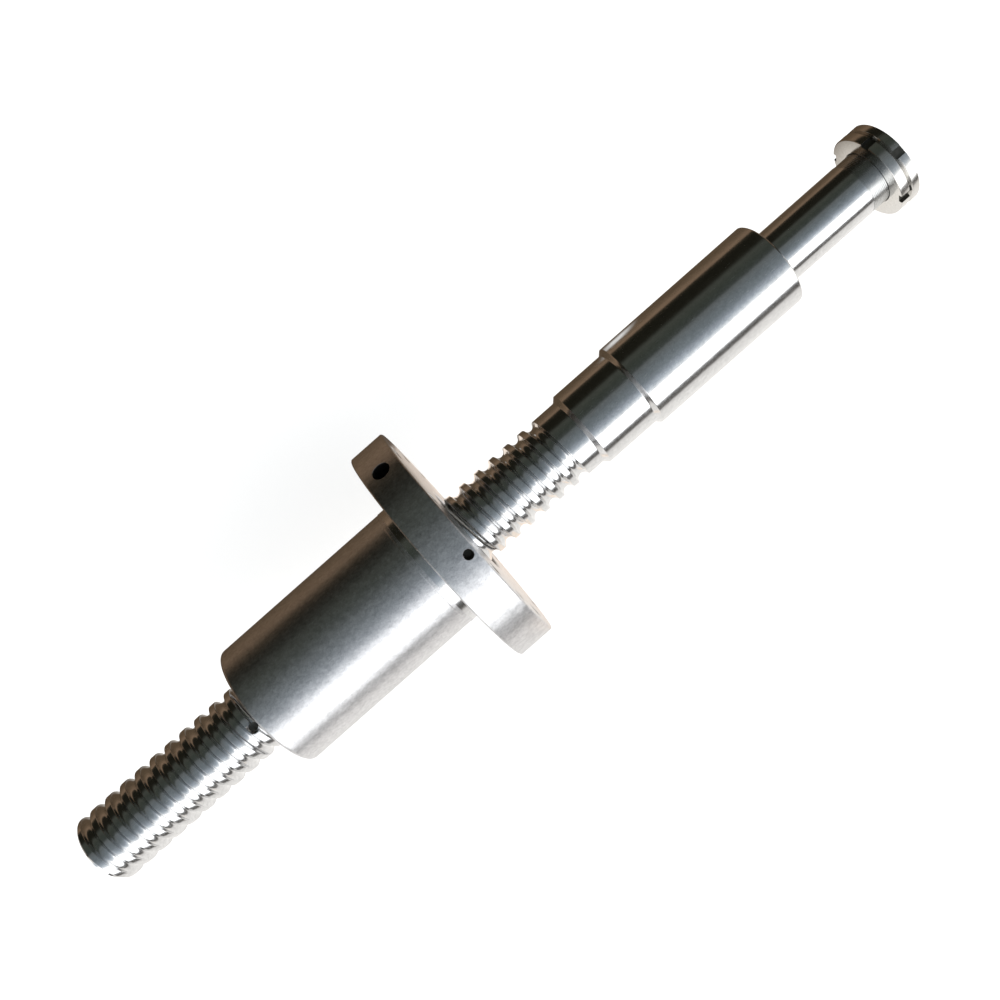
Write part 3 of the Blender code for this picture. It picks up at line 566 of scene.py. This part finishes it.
def add_turned_part(bm, plain_ring):
    """The plain part, collar, bearing seat and journal."""
    step = SEAT_RADIUS - COLLAR_RADIUS
    root = END_THREAD_RADIUS - END_THREAD_DEPTH
    outline = [
        (PLAIN_START + 0.0005, SCREW_RADIUS, 0),
        (COLLAR_LEFT - (COLLAR_RADIUS - SCREW_RADIUS), SCREW_RADIUS, SOFT),
        (COLLAR_LEFT, COLLAR_RADIUS, DULL),
        (SEAT_LEFT - step / 2, COLLAR_RADIUS, DULL),
        (SEAT_LEFT, COLLAR_RADIUS + step / 2, 0),
        (SEAT_LEFT + step / 2, SEAT_RADIUS, DULL),
        (JOURNAL_LEFT - SEAT_CHAMFER, SEAT_RADIUS, DULL),
        (JOURNAL_LEFT, SEAT_RADIUS - SEAT_CHAMFER, DULL),
        (JOURNAL_LEFT, JOURNAL_RADIUS, SOFT),
        (END_THREAD_LEFT - END_THREAD_DEPTH, JOURNAL_RADIUS, KEEN),
        (END_THREAD_LEFT, root, KEEN),
        (END_THREAD_START, root, 0),
    ]
    rings = [add_ring(bm, x, [radius] * SEGMENTS) for x, radius in round_corners(outline)]
    join_rings(bm, plain_ring, rings[0])
    chain_rings(bm, rings)


def add_end_thread(bm):
    """The fine thread, the screw's right face and its centre hole."""
    fine = bmesh.new()
    root = END_THREAD_RADIUS - END_THREAD_DEPTH
    pitch = END_THREAD_PITCH
    profile = [(-pitch * 0.44, END_THREAD_RADIUS), (-pitch * 0.06, root), (pitch * 0.06, root),
               (pitch * 0.44, END_THREAD_RADIUS)]
    start, end = wind_thread(fine, profile, pitch, END_THREAD_START, END_THREAD_START,
                             SCREW_RIGHT - 0.001, SEGMENTS)
    mouth = add_ring(fine, END_THREAD_START, [root] * SEGMENTS)
    join_rings(fine, mouth, start)
    tip = [end, add_ring(fine, SCREW_RIGHT, [root - 0.0004] * SEGMENTS)]
    for depth, radius in CENTRE_HOLE:
        tip.append(add_ring(fine, SCREW_RIGHT - depth, [radius] * SEGMENTS))
    chain_rings(fine, tip)
    fine.faces.new(tip[-1])
    mesh = bpy.data.meshes.new("end_thread")
    fine.to_mesh(mesh)
    fine.free()
    bm.from_mesh(mesh)
    bpy.data.meshes.remove(mesh)


def drill_stop_hole(screw):
    """The countersunk hole beside the nut, with painted shade on its bottom."""
    x, angle = NUT_LEFT - STOP_HOLE_FROM_NUT, math.radians(STOP_HOLE_ANGLE)
    bottom = on_axis(x, SCREW_RADIUS - STOP_HOLE_DEPTH, angle)
    drill, cone = bmesh.new(), bmesh.new()
    add_cylinder(drill, STOP_HOLE_RADIUS, bottom, on_axis(x, SCREW_RADIUS + STOP_HOLE_DEPTH, angle))
    add_cylinder(cone, STOP_HOLE_RADIUS - STOP_HOLE_SINK,
                 on_axis(x, SCREW_RADIUS - 2 * STOP_HOLE_SINK, angle),
                 on_axis(x, SCREW_RADIUS + STOP_HOLE_SINK, angle),
                 end_radius=STOP_HOLE_MOUTH + STOP_HOLE_SINK)
    cut_away(screw, [drill, cone])
    paint_hole_shade(screw, add_finish(screw, HOLE_SHADE_STEEL), STOP_HOLE_RADIUS, bottom,
                on_axis(x, SCREW_RADIUS - 0.0095, angle))


def make_screw():
    bm = bmesh.new()
    thread_ring, plain_ring = wind_thread(bm, groove_profile(-1), LEAD, GROOVE_AT_TOP,
                                          SCREW_LEFT + LEFT_CHAMFER, PLAIN_START, SEGMENTS,
                                          (THREAD_END + RUN_OUT / 2, RUN_OUT))
    add_left_end(bm, thread_ring)
    add_turned_part(bm, plain_ring)
    add_end_thread(bm)
    bmesh.ops.remove_doubles(bm, verts=bm.verts, dist=MERGE)
    screw = add_piece("screw", bm, GROUND, "screw", ["screw_shaft"])
    drill_stop_hole(screw)
    threaded = add_finish(screw, END_THREAD)
    for face in screw.data.polygons:
        if face.center.x > END_THREAD_LEFT and abs(face.normal.x) < 0.9:
            face.material_index = threaded


# Nut

def beside_tube(start, along, across, height):
    """A point along and across a return tube's run, and below the axis."""
    middle = Vector((start + CIRCUIT_LENGTH / 2, 0, -height))
    return middle + TUBE_ALONG * along + TUBE_ACROSS * across


def tube_bend(offset, steps):
    bend = TUBE_BEND - offset
    points = []
    for step in range(steps + 1):
        angle = math.pi / 2 * step / steps
        points.append((TUBE_BEND - bend * math.cos(angle),
                       TUBE_RUN - TUBE_BEND + bend * math.sin(angle)))
    return points


def tube_path(start, leg_start, steps):
    half = [(0.0, leg_start)] + tube_bend(0.0, steps)
    path = [beside_tube(start, p - TUBE_SPAN / 2, 0, h) for p, h in half]
    return path + [beside_tube(start, TUBE_SPAN / 2 - p, 0, h) for p, h in reversed(half)]


def clamp_screw_places():
    for start in CIRCUIT_STARTS:
        for across in (-CLAMP_SCREW_OFFSET, CLAMP_SCREW_OFFSET):
            yield beside_tube(start, 0, across, 0)


def nut_outline():
    """The nut from the floor of its left recess, round its outside, to the right one."""
    recess = [(RECESS_DEPTH, RECESS_RADIUS, KEEN), (SNAP_GROOVE_FAR, RECESS_RADIUS, 0),
              (SNAP_GROOVE_FAR, SNAP_GROOVE_RADIUS, 0), (SNAP_GROOVE_NEAR, SNAP_GROOVE_RADIUS, 0),
              (SNAP_GROOVE_NEAR, RECESS_RADIUS, KEEN), (NUT_CHAMFER, RECESS_RADIUS, FINE),
              (0.0, RECESS_RADIUS + NUT_CHAMFER, FINE)]
    outline = [(NUT_LEFT + x, radius, fillet) for x, radius, fillet in recess]
    outline += [(NUT_LEFT, NUT_RADIUS - NUT_CORNER, 0)]
    for step in range(1, NUT_CORNER_STEPS):
        angle = math.pi / 2 * step / NUT_CORNER_STEPS
        outline.append((NUT_LEFT + NUT_CORNER * (1 - math.cos(angle)),
                        NUT_RADIUS - NUT_CORNER * (1 - math.sin(angle)), 0))
    outline += [(NUT_LEFT + NUT_CORNER, NUT_RADIUS, 0),
                (PILOT_LEFT - PILOT_RAMP, NUT_RADIUS, DULL),
                (PILOT_LEFT, PILOT_RADIUS, DULL), (POLISHED_LEFT, PILOT_RADIUS, 0),
                (FLANGE_LEFT - UNDERCUT_START, PILOT_RADIUS, FINE),
                (FLANGE_LEFT - UNDERCUT_WIDTH, PILOT_RADIUS - UNDERCUT_DEPTH, FINE),
                (FLANGE_LEFT, PILOT_RADIUS - UNDERCUT_DEPTH, DULL),
                (FLANGE_LEFT, FLANGE_RADIUS - NUT_CHAMFER, DULL),
                (FLANGE_LEFT + NUT_CHAMFER, FLANGE_RADIUS, DULL),
                (NUT_RIGHT - NUT_CHAMFER, FLANGE_RADIUS, DULL),
                (NUT_RIGHT, FLANGE_RADIUS - NUT_CHAMFER, DULL)]
    return outline + [(NUT_RIGHT - x, radius, fillet) for x, radius, fillet in reversed(recess)]


def make_nut():
    bm = bmesh.new()
    low, high = wind_thread(bm, groove_profile(1), LEAD, GROOVE_AT_TOP, NUT_LEFT + RECESS_DEPTH,
                            NUT_RIGHT - RECESS_DEPTH, SEGMENTS)
    rings = [add_ring(bm, x, [radius] * SEGMENTS) for x, radius in round_corners(nut_outline())]
    chain_rings(bm, [low] + rings + [high])
    nut = add_piece("nut", bm, NUT, "nut", ["ball_nut"])
    drills = []
    for radius, start, end in flange_holes():
        drills += drilled(radius, start, end, EDGE_BREAK)
    cut_away(nut, drills + pocket_cutters())
    # The walls and bottoms of the flange's holes and ports get painted shade.
    shaded_holes = add_finish(nut, HOLE_SHADE_STEEL)
    for radius, start, end in flange_holes():
        paint_hole_shade(nut, shaded_holes, radius, start, end - (end - start).normalized() * EDGE_BREAK)
    polished = add_finish(nut, GROUND)
    for face in nut.data.polygons:
        reach = math.hypot(face.center.y, face.center.z)
        if POLISHED_LEFT < face.center.x < FLANGE_LEFT - EDGE_BREAK and NUT_RADIUS < reach:
            face.material_index = polished


def flange_holes():
    """Each hole of the flange, from its middle or its bottom, as (radius, start, mouth)."""
    holes = [(BOLT_FIRST_ANGLE + 360.0 / BOLT_COUNT * i, BOLT_RADIUS) for i in range(BOLT_COUNT)]
    holes += [(degrees, JACK_RADIUS) for degrees in JACK_ANGLES]
    for degrees, radius in holes:
        angle = math.radians(degrees)
        for x in (FLANGE_LEFT, NUT_RIGHT):
            yield radius, on_axis(FLANGE_MIDDLE, BOLT_CIRCLE, angle), on_axis(x, BOLT_CIRCLE, angle)
    for x, degrees, radius, depth in RIM_PORTS:
        angle = math.radians(degrees)
        yield radius, on_axis(x, FLANGE_RADIUS - depth, angle), on_axis(x, FLANGE_RADIUS, angle)


def pocket_cutters():
    """The flat pocket under the nut, its tube holes and bend slots, and the clamps' screw holes."""
    pocket = bmesh.new()
    low = CIRCUIT_STARTS[0] - LEAD
    high = CIRCUIT_STARTS[1] + CIRCUIT_LENGTH + LEAD
    size = Vector((high - low, 2 * NUT_RADIUS, NUT_RADIUS))
    place = Vector(((low + high) / 2, 0, -POCKET_FLOOR - size.z / 2))
    bmesh.ops.create_cube(pocket, size=1.0,
                          matrix=Matrix.Translation(place) @ Matrix.Diagonal((*size, 1)))
    cutters = [pocket]
    ceiling = NUT_RADIUS + GAP
    bend = tube_bend(SLOT_RADIUS, 12)[1:]
    bend[-1] = (bend[-1][0], POCKET_FLOOR + GAP)
    floor = TUBE_RUN - TUBE_BEND - SLOT_RADIUS / 2
    outline = [(0.0, ceiling), (0.0, floor), (bend[0][0], floor)] + bend + [(bend[-1][0], ceiling)]
    for start in CIRCUIT_STARTS:
        for end in (-1, 1):
            leg = bmesh.new()
            add_cylinder(leg, SLOT_RADIUS,
                         beside_tube(start, end * TUBE_SPAN / 2, 0, -TUBE_HOLE_OVERRUN),
                         beside_tube(start, end * TUBE_SPAN / 2, 0, NUT_RADIUS))
            slot = bmesh.new()
            sides = []
            for across in (-SLOT_RADIUS, SLOT_RADIUS):
                places = [beside_tube(start, end * (TUBE_SPAN / 2 - p), across, h) for p, h in outline]
                sides.append([slot.verts.new(place) for place in places])
            join_rings(slot, sides[0], sides[1])
            slot.faces.new(sides[0])
            slot.faces.new(sides[1])
            bmesh.ops.triangulate(slot, faces=slot.faces)
            cutters += [leg, slot]
    for place in clamp_screw_places():
        hole = bmesh.new()
        add_cylinder(hole, CLAMP_HOLE_RADIUS,
                     place - Vector((0, 0, POCKET_FLOOR - CLAMP_HOLE_DEPTH)),
                     place - Vector((0, 0, NUT_RADIUS)), 24)
        cutters.append(hole)
    return cutters


def make_balls(number, start):
    """The balls of one circuit, round the screw and back through the tube."""
    steps = 360
    path = []
    for step in range(steps):
        turns = CIRCUIT_TURNS * step / steps
        path.append(on_axis(start + LEAD * turns, BALL_CIRCLE, 2 * math.pi * turns))
    path += list(reversed(tube_path(start, 0.0, 12)))
    path.append(path[0])
    lengths = [0.0]
    for first, second in zip(path, path[1:]):
        lengths.append(lengths[-1] + (second - first).length)
    count = int(lengths[-1] / BALL_PITCH)
    bm = bmesh.new()
    index = 0
    for ball in range(count):
        distance = lengths[-1] * ball / count
        while lengths[index + 1] < distance:
            index += 1
        share = (distance - lengths[index]) / (lengths[index + 1] - lengths[index])
        centre = path[index].lerp(path[index + 1], share)
        bmesh.ops.create_uvsphere(bm, u_segments=20, v_segments=12, radius=BALL_RADIUS,
                                  matrix=Matrix.Translation(centre))
    add_piece(f"balls_{number}", bm, BALL, "nut", [f"ball_circuit_{number}"])


def make_tube(number, start):
    """A bent return tube whose two ends are scooped to the nut's bore."""
    path = tube_path(start, BALL_RADIUS, 14)
    bm = bmesh.new()
    skins = []
    for reach in (TUBE_RADIUS, TUBE_BORE):
        rings = []
        for index, point in enumerate(path):
            before = path[max(index - 1, 0)]
            after = path[min(index + 1, len(path) - 1)]
            side = (after - before).normalized().cross(TUBE_ACROSS)
            ring = []
            for i in range(32):
                angle = 2 * math.pi * i / 32
                spoke = TUBE_ACROSS * math.cos(angle) + side * math.sin(angle)
                ring.append(bm.verts.new(point + spoke * reach))
            rings.append(ring)
        chain_rings(bm, rings)
        skins.append(rings)
    join_rings(bm, skins[0][0], skins[1][0])
    join_rings(bm, skins[0][-1], skins[1][-1])
    tube = add_piece(f"tube_{number}", bm, TUBE, "nut", [f"return_tube_{number}"])
    scoop = bmesh.new()
    add_cylinder(scoop, NUT_BORE, Vector((NUT_LEFT, 0, 0)), Vector((NUT_RIGHT, 0, 0)), SEGMENTS)
    cut_away(tube, [scoop])


def make_clamp(number, start):
    """A pressed saddle over a tube, with softened edges."""
    foot, half, bend = POCKET_FLOOR + GAP, CLAMP_HALF_LENGTH, CLAMP_BEND
    skins = []
    for rise in (0, CLAMP_THICKNESS):
        radius = TUBE_RADIUS + GAP + rise
        skin = [(-half, foot + rise), (-radius - bend, foot + rise), (-radius, foot + rise + bend)]
        for step in range(17):
            angle = math.pi * step / 16
            skin.append((-radius * math.cos(angle), TUBE_RUN + radius * math.sin(angle)))
        skin += [(radius, foot + rise + bend), (radius + bend, foot + rise), (half, foot + rise)]
        skins.append(skin)
    section = skins[0] + list(reversed(skins[1]))
    bm = bmesh.new()
    sides = []
    for along in (-CLAMP_HALF_WIDTH, CLAMP_HALF_WIDTH):
        sides.append([bm.verts.new(beside_tube(start, along, q, h)) for q, h in section])
    join_rings(bm, sides[0], sides[1])
    bm.faces.new(sides[0])
    bm.faces.new(sides[1])
    clamp = add_piece(f"clamp_{number}", bm, CLAMP, "nut", [f"tube_clamp_{number}"])
    holes = []
    for place in clamp_screw_places():
        hole = bmesh.new()
        add_cylinder(hole, CLAMP_HOLE_RADIUS, place - Vector((0, 0, POCKET_FLOOR - GAP)),
                     place - Vector((0, 0, POCKET_FLOOR + 0.003)), 24)
        holes.append(hole)
    cut_away(clamp, holes)
    soften(clamp, FINE)


def soften(piece, width):
    bevel = piece.modifiers.new("edges", "BEVEL")
    bevel.width = width
    bevel.segments = 2
    bevel.limit_method = "ANGLE"
    bevel.angle_limit = math.radians(50)


def make_clamp_screw(number, place):
    """A low-head screw with a hexagon socket, its head below the clamp."""
    seat = POCKET_FLOOR + 2 * GAP + CLAMP_THICKNESS
    outline = [(POCKET_FLOOR - SHANK_GRIP, SHANK_RADIUS - DULL),
               (POCKET_FLOOR - SHANK_GRIP + DULL, SHANK_RADIUS), (seat, SHANK_RADIUS),
               (seat, HEAD_RADIUS - KEEN), (seat + KEEN, HEAD_RADIUS),
               (seat + 0.0019, HEAD_RADIUS), (seat + 0.0023, HEAD_RADIUS - FINE),
               (seat + 0.0026, HEAD_RADIUS - 0.0007)]
    bm = bmesh.new()
    rings = []
    for height, radius in outline:
        ring = []
        for i in range(32):
            angle = 2 * math.pi * i / 32
            across = Vector((math.cos(angle), math.sin(angle), 0)) * radius
            ring.append(bm.verts.new(place + across - Vector((0, 0, height))))
        rings.append(ring)
    chain_rings(bm, rings)
    bm.faces.new(rings[0])
    bm.faces.new(rings[-1])
    screw = add_piece(f"saddle_screw_{number}", bm, BOLT, "nut",
                      [f"clamp_screw_{number}"])
    socket = bmesh.new()
    add_cylinder(socket, SOCKET_RADIUS, place - Vector((0, 0, seat + SOCKET_FLOOR)),
                 place - Vector((0, 0, seat + 0.004)), 6)
    cut_away(screw, [socket])


# Seals

def seal_place(side, depth):
    return NUT_LEFT + depth if side < 0 else NUT_RIGHT - depth


def turned_ring(name, section, side, material, body, node):
    """A closed ring from its section's (depth, radius, fillet) points."""
    bm = bmesh.new()
    outline = round_corners([(seal_place(side, x), radius, fillet) for x, radius, fillet in section],
                            closed=True)
    chain_rings(bm, [add_ring(bm, x, [radius] * SEGMENTS) for x, radius in outline], closed=True)
    add_piece(name, bm, material, body, [node])


def make_seals():
    outer = RECESS_RADIUS - GAP
    floor = RECESS_DEPTH - GAP
    front = floor - SPACER_THICKNESS
    inner = front - GAP
    face = inner - WIPER_WIDTH
    lip = SCREW_RADIUS + LIP_PLAY
    hollow = lip + LIP_TAPER
    spacer = [(front, NUT_BORE, KEEN), (front, outer, KEEN), (floor, outer, KEEN),
              (floor, NUT_BORE, KEEN)]
    wiper = [(inner, outer, DULL), (face, outer, 0.0005), (face, lip + 0.0045, DULL),
             (face + 0.0006, lip + 0.004, DULL), (face + 0.0006, lip + 0.0015, DULL),
             (face, lip + 0.0010, FINE), (face, lip, KEEN), (face + LIP_WIDTH, lip, DULL),
             (face + LIP_WIDTH + LIP_TAPER, hollow, DULL), (inner, hollow, DULL)]
    for name, side in (("left", -1), ("right", 1)):
        turned_ring(f"spacer_{name}", spacer, side, SPACER, "spacers",
                    f"wiper_spacer_{name}")
        turned_ring(f"wiper_ring_{name}", wiper, side, WIPER, "nut",
                    f"wiper_{name}")
        make_snap_ring(name, side)


def make_snap_ring(name, side):
    """An open ring with an eyed ear at each end."""
    near, far = (seal_place(side, depth) for depth in SNAP_RING_DEPTHS)
    outer = RECESS_RADIUS + SNAP_RING_SEATING
    opening, steps = SNAP_RING_OPENING, SNAP_RING_STEPS
    bm = bmesh.new()
    rings = []
    for step in range(steps + 1):
        angle = -math.pi / 2 + opening / 2 + (2 * math.pi - opening) * step / steps
        near_end = min(step, steps - step) / steps
        ear = min(1.0, max(0.0, (0.024 - near_end) / 0.006))
        inner = outer - SNAP_RING_WIDTH - SNAP_RING_EAR * ear * ear * (3 - 2 * ear)
        corners = [(near, inner), (near, outer), (far, outer), (far, inner)]
        rings.append([bm.verts.new(on_axis(x, radius, angle)) for x, radius in corners])
    for first, second in zip(rings, rings[1:]):
        join_rings(bm, first, second)
    bm.faces.new(rings[0])
    bm.faces.new(rings[-1])
    ring = add_piece(f"circlip_{name}", bm, SPRING, "nut", [f"snap_ring_{name}"])
    eyes = []
    for sign in (-1, 1):
        angle = -math.pi / 2 + sign * (opening / 2 + EYE_FROM_END)
        eye = bmesh.new()
        add_cylinder(eye, EYE_RADIUS, on_axis(min(near, far) - 0.001, outer - EYE_FROM_RIM, angle),
                     on_axis(max(near, far) + 0.001, outer - EYE_FROM_RIM, angle), 24)
        eyes.append(eye)
    cut_away(ring, eyes)
    soften(ring, FINE)


# Round nuts

def make_locknut(name, left, left_edge, first_slot, node):
    """A round nut with chamfered faces and spanner slots."""
    bore, outer, right = END_THREAD_RADIUS + GAP, LOCKNUT_RADIUS, left + LOCKNUT_WIDTH
    lead_in = 0.0006
    section = [(left + lead_in, bore, KEEN), (left, bore + lead_in, KEEN),
               (left, outer - left_edge[1], DULL), (left + left_edge[0], outer, DULL),
               (right - FREE_EDGE[0], outer, SOFT), (right, outer - FREE_EDGE[1], SOFT),
               (right, bore + lead_in, KEEN), (right - lead_in, bore, KEEN)]
    bm = bmesh.new()
    chain_rings(bm, [add_ring(bm, x, [radius] * SEGMENTS) for x, radius in
                     round_corners(section, closed=True)], closed=True)
    locknut = add_piece(name, bm, LOCKNUT, "screw", [node])
    slots = []
    for number in range(SLOT_COUNT):
        angle = math.radians(first_slot + 360.0 / SLOT_COUNT * number)
        slot = bmesh.new()
        place = Matrix.Rotation(angle, 4, "X") @ Matrix.Translation(((left + right) / 2, outer, 0))
        bmesh.ops.create_cube(slot, size=1.0,
                              matrix=place @ Matrix.Diagonal((*SLOT_SIZE, 1)))
        slots.append(slot)
    cut_away(locknut, slots)
    soften(locknut, DULL)
    # The slots' floors and walls get painted shade.
    shaded_slots = add_finish(locknut, HOLE_SHADE_STEEL)
    for face in locknut.data.polygons:
        reach = math.hypot(face.center.y, face.center.z)
        if SLOTTED_FROM < reach < outer - EDGE_BREAK and abs(face.normal.x) < 0.5:
            face.material_index = shaded_slots


# Studio

FLOOR_REACH = 15.0
FLOOR_GLOW = 0.82
# Room colours by the angle from overhead in degrees, from the far side to the near side
ROOM = (
    (-180, (0.010, 0.010, 0.007)), (-61, (0.013, 0.012, 0.008)), (-52, (0.064, 0.068, 0.056)),
    (-36, (0.046, 0.053, 0.043)), (-21, (0.048, 0.055, 0.049)), (-17, (0.14, 0.152, 0.152)),
    (0, (0.165, 0.190, 0.203)), (12, (0.205, 0.236, 0.255)), (19, (0.26, 0.30, 0.335)),
    (24, (0.36, 0.40, 0.45)), (31, (0.48, 0.54, 0.60)), (37, (0.80, 0.86, 0.92)),
    (42, (1.0, 1.0, 1.0)), (78, (1.0, 1.0, 1.0)), (82, (0.13, 0.125, 0.12)),
    (180, (0.11, 0.105, 0.10)),
)
# Painted light and shadow on the floor, seen only in the steel's reflections, by the distance towards
# the far side in metres: painted light on the near side, a painted shadow from brown to dark on the far
# side
FLOOR_PAINTED_LIGHT_AND_SHADOW = (
    (-1.0, (0.12, 0.11, 0.10)), (-0.84, (0.12, 0.11, 0.10)), (-0.70, (0.84, 0.81, 0.78)),
    (-0.05, (1.12, 1.09, 1.05)), (0.01, (0.98, 0.93, 0.86)), (0.07, (0.11, 0.076, 0.048)),
    (0.16, (0.12, 0.082, 0.050)), (0.42, (0.23, 0.155, 0.10)), (0.70, (0.26, 0.172, 0.112)),
    (0.86, (0.05, 0.044, 0.030)), (1.0, (0.02, 0.018, 0.012)),
)
# Painted pools of light on that floor, which the steel shows as painted reflections: x and y from, to
# and soft edge in metres, and colour
PAINTED_LIGHT_PATCHES = (
    ((-0.036, 0.012, 0.003), (-0.50, 0.106, 0.008), (1.20, 1.04, 0.90)),
    ((0.160, 0.215, 0.020), (0.10, 0.26, 0.05), (0.95, 0.93, 0.90)),
)


def make_floor():
    """A white floor that keeps the shadow; glossy rays see painted light on its near side and a painted
    shadow on its far side.
    """
    mesh = bpy.data.meshes.new("floor")
    corners = [(x * FLOOR_REACH, y * FLOOR_REACH, 0) for x, y in ((-1, -1), (1, -1), (1, 1), (-1, 1))]
    mesh.from_pydata(corners, [], [(0, 1, 2, 3)])
    floor = bpy.data.objects.new("floor", mesh)
    floor.location.z = -FLANGE_RADIUS - GAP
    bpy.context.scene.collection.objects.link(floor)
    finish = Finish("floor_white_and_painted_light")
    nodes, links = finish.nodes, finish.links
    finish.shader.inputs["Base Color"].default_value = (0.80, 0.79, 0.77, 1.0)
    finish.shader.inputs["Roughness"].default_value = 0.9
    finish.shader.inputs["Specular IOR Level"].default_value = 0.0
    paths = nodes.new("ShaderNodeLightPath")
    seen = finish.math("MAXIMUM", paths.outputs["Is Camera Ray"], paths.outputs["Is Transmission Ray"])
    glow = nodes.new("ShaderNodeEmission")
    links.new(finish.math("MULTIPLY", seen, FLOOR_GLOW), glow.inputs["Strength"])
    both = nodes.new("ShaderNodeAddShader")
    links.new(finish.shader.outputs[0], both.inputs[0])
    links.new(glow.outputs[0], both.inputs[1])
    split = nodes.new("ShaderNodeSeparateXYZ")
    links.new(finish.place, split.inputs[0])
    # Emission for glossy rays only: the floor's painted light and shadow, with painted pools of light
    # laid over it.
    painted_in_steel = nodes.new("ShaderNodeEmission")
    across = finish.ramp(split.outputs["Y"], -1.0, 1.0)
    links.new(finish.colours(across, [((y + 1) / 2, colour) for y, colour in FLOOR_PAINTED_LIGHT_AND_SHADOW]),
              painted_in_steel.inputs["Color"])
    for x, y, colour in PAINTED_LIGHT_PATCHES:
        share = 1.0
        for value, (low, high, soft) in ((split.outputs["X"], x), (split.outputs["Y"], y)):
            share = finish.math("MULTIPLY", share, finish.ramp(value, low, low + soft))
            share = finish.math("MULTIPLY", share, finish.ramp(value, high - soft, high, 1.0, 0.0))
        lit = nodes.new("ShaderNodeEmission")
        lit.inputs["Color"].default_value = (*colour, 1)
        wider = nodes.new("ShaderNodeMixShader")
        links.new(share, wider.inputs["Fac"])
        links.new(painted_in_steel.outputs[0], wider.inputs[1])
        links.new(lit.outputs[0], wider.inputs[2])
        painted_in_steel = wider
    surface = nodes.new("ShaderNodeMixShader")
    links.new(paths.outputs["Is Glossy Ray"], surface.inputs["Fac"])
    links.new(both.outputs[0], surface.inputs[1])
    links.new(painted_in_steel.outputs[0], surface.inputs[2])
    links.new(surface.outputs[0], nodes["Material Output"].inputs["Surface"])
    mesh.materials.append(finish.material)


def make_world():
    """A studio grey overhead and dark on the far side, all along the screw, before a white backdrop."""
    world = bpy.data.worlds.new("studio")
    bpy.context.scene.world = world
    world.use_nodes = True
    nodes, links = world.node_tree.nodes, world.node_tree.links
    direction = nodes.new("ShaderNodeTexCoord").outputs["Generated"]
    split = nodes.new("ShaderNodeSeparateXYZ")
    links.new(direction, split.inputs[0])
    angle = nodes.new("ShaderNodeMath")
    angle.operation = "ARCTAN2"
    links.new(split.outputs["Y"], angle.inputs[0])
    links.new(split.outputs["Z"], angle.inputs[1])
    turn = nodes.new("ShaderNodeMapRange")
    turn.inputs["From Min"].default_value = math.pi
    turn.inputs["From Max"].default_value = -math.pi
    links.new(angle.outputs[0], turn.inputs["Value"])
    ramp = nodes.new("ShaderNodeValToRGB")
    links.new(turn.outputs["Result"], ramp.inputs["Fac"])
    fill_ramp(ramp, [((degrees + 180) / 360, colour) for degrees, colour in ROOM])
    links.new(ramp.outputs["Color"], nodes["Background"].inputs["Color"])
    backdrop = nodes.new("ShaderNodeBackground")
    backdrop.inputs["Color"].default_value = (1, 1, 1, 1)
    paths = nodes.new("ShaderNodeLightPath")
    seen = nodes.new("ShaderNodeMath")
    seen.operation = "MAXIMUM"
    links.new(paths.outputs["Is Camera Ray"], seen.inputs[0])
    links.new(paths.outputs["Is Transmission Ray"], seen.inputs[1])
    either = nodes.new("ShaderNodeMixShader")
    links.new(seen.outputs[0], either.inputs["Fac"])
    links.new(nodes["Background"].outputs[0], either.inputs[1])
    links.new(backdrop.outputs[0], either.inputs[2])
    links.new(either.outputs[0], nodes["World Output"].inputs["Surface"])


def add_lamp(name, centre, target, size_x, size_y, radiance, colour):
    """A rectangular soft box, as bright as its radiance says."""
    data = bpy.data.lights.new(name, "AREA")
    data.shape = "RECTANGLE"
    data.size = size_x
    data.size_y = size_y
    data.energy = radiance * math.pi * size_x * size_y
    data.color = colour
    lamp = bpy.data.objects.new(name, data)
    lamp.location = centre
    facing = (Vector(target) - Vector(centre)).normalized()
    side = Vector((1, 0, 0))
    up = (-facing).cross(side).normalized()
    lamp.matrix_world = Matrix.Translation(centre) @ Matrix((side, up, -facing)).transposed().to_4x4()
    bpy.context.scene.collection.objects.link(lamp)


# The photograph's width and the camera's focal length in its pixels
PHOTO_WIDTH = 1000
FOCAL_LENGTH = 1050.0
SENSOR_WIDTH = 36.0
CAMERA_DISTANCE = 0.8624
CAMERA_TILT = 0.003
AIM = Vector((0.00467, 0.0009, 0))
# How far the axis runs to the right and up in the picture, for one step along it
AXIS_RIGHT, AXIS_UP = 0.7500, 0.6614


def make_camera():
    """The photograph's view, from above with the screw running up to the right."""
    along = Vector((math.cos(CAMERA_TILT), 0, math.sin(CAMERA_TILT)))
    across = Vector((0, -1, 0))
    back = Vector((-math.sin(CAMERA_TILT), 0, math.cos(CAMERA_TILT)))
    right = along * AXIS_RIGHT + across * AXIS_UP
    up = along * AXIS_UP - across * AXIS_RIGHT
    data = bpy.data.cameras.new("camera")
    data.sensor_width = SENSOR_WIDTH
    data.lens = FOCAL_LENGTH / PHOTO_WIDTH * SENSOR_WIDTH
    data.clip_start = 0.01
    camera = bpy.data.objects.new("camera", data)
    place = AIM + back * CAMERA_DISTANCE
    camera.matrix_world = Matrix.Translation(place) @ Matrix((right, up, back)).transposed().to_4x4()
    bpy.context.scene.collection.objects.link(camera)
    bpy.context.scene.camera = camera


make_camera()
make_screw()
make_nut()
for index, circuit_start in enumerate(CIRCUIT_STARTS):
    make_balls(index + 1, circuit_start)
    make_tube(index + 1, circuit_start)
    make_clamp(index + 1, circuit_start)
for index, screw_place in enumerate(clamp_screw_places()):
    make_clamp_screw(index + 1, screw_place)
make_seals()
make_locknut("round_nut_inner", LOCKNUT_INNER_LEFT, CLAMPING_EDGE, 58.0, "locknut_inner")
make_locknut("round_nut_outer", LOCKNUT_OUTER_LEFT, FREE_EDGE, 92.0, "locknut_outer")
make_floor()
make_world()
add_lamp("soft_box", centre=(0, -1.105, 0.618), target=(0, 0, 0), size_x=3.4, size_y=0.867,
         radiance=1.5, colour=(0.98, 0.99, 1.0))
bpy.context.scene.view_settings.view_transform = "Standard"
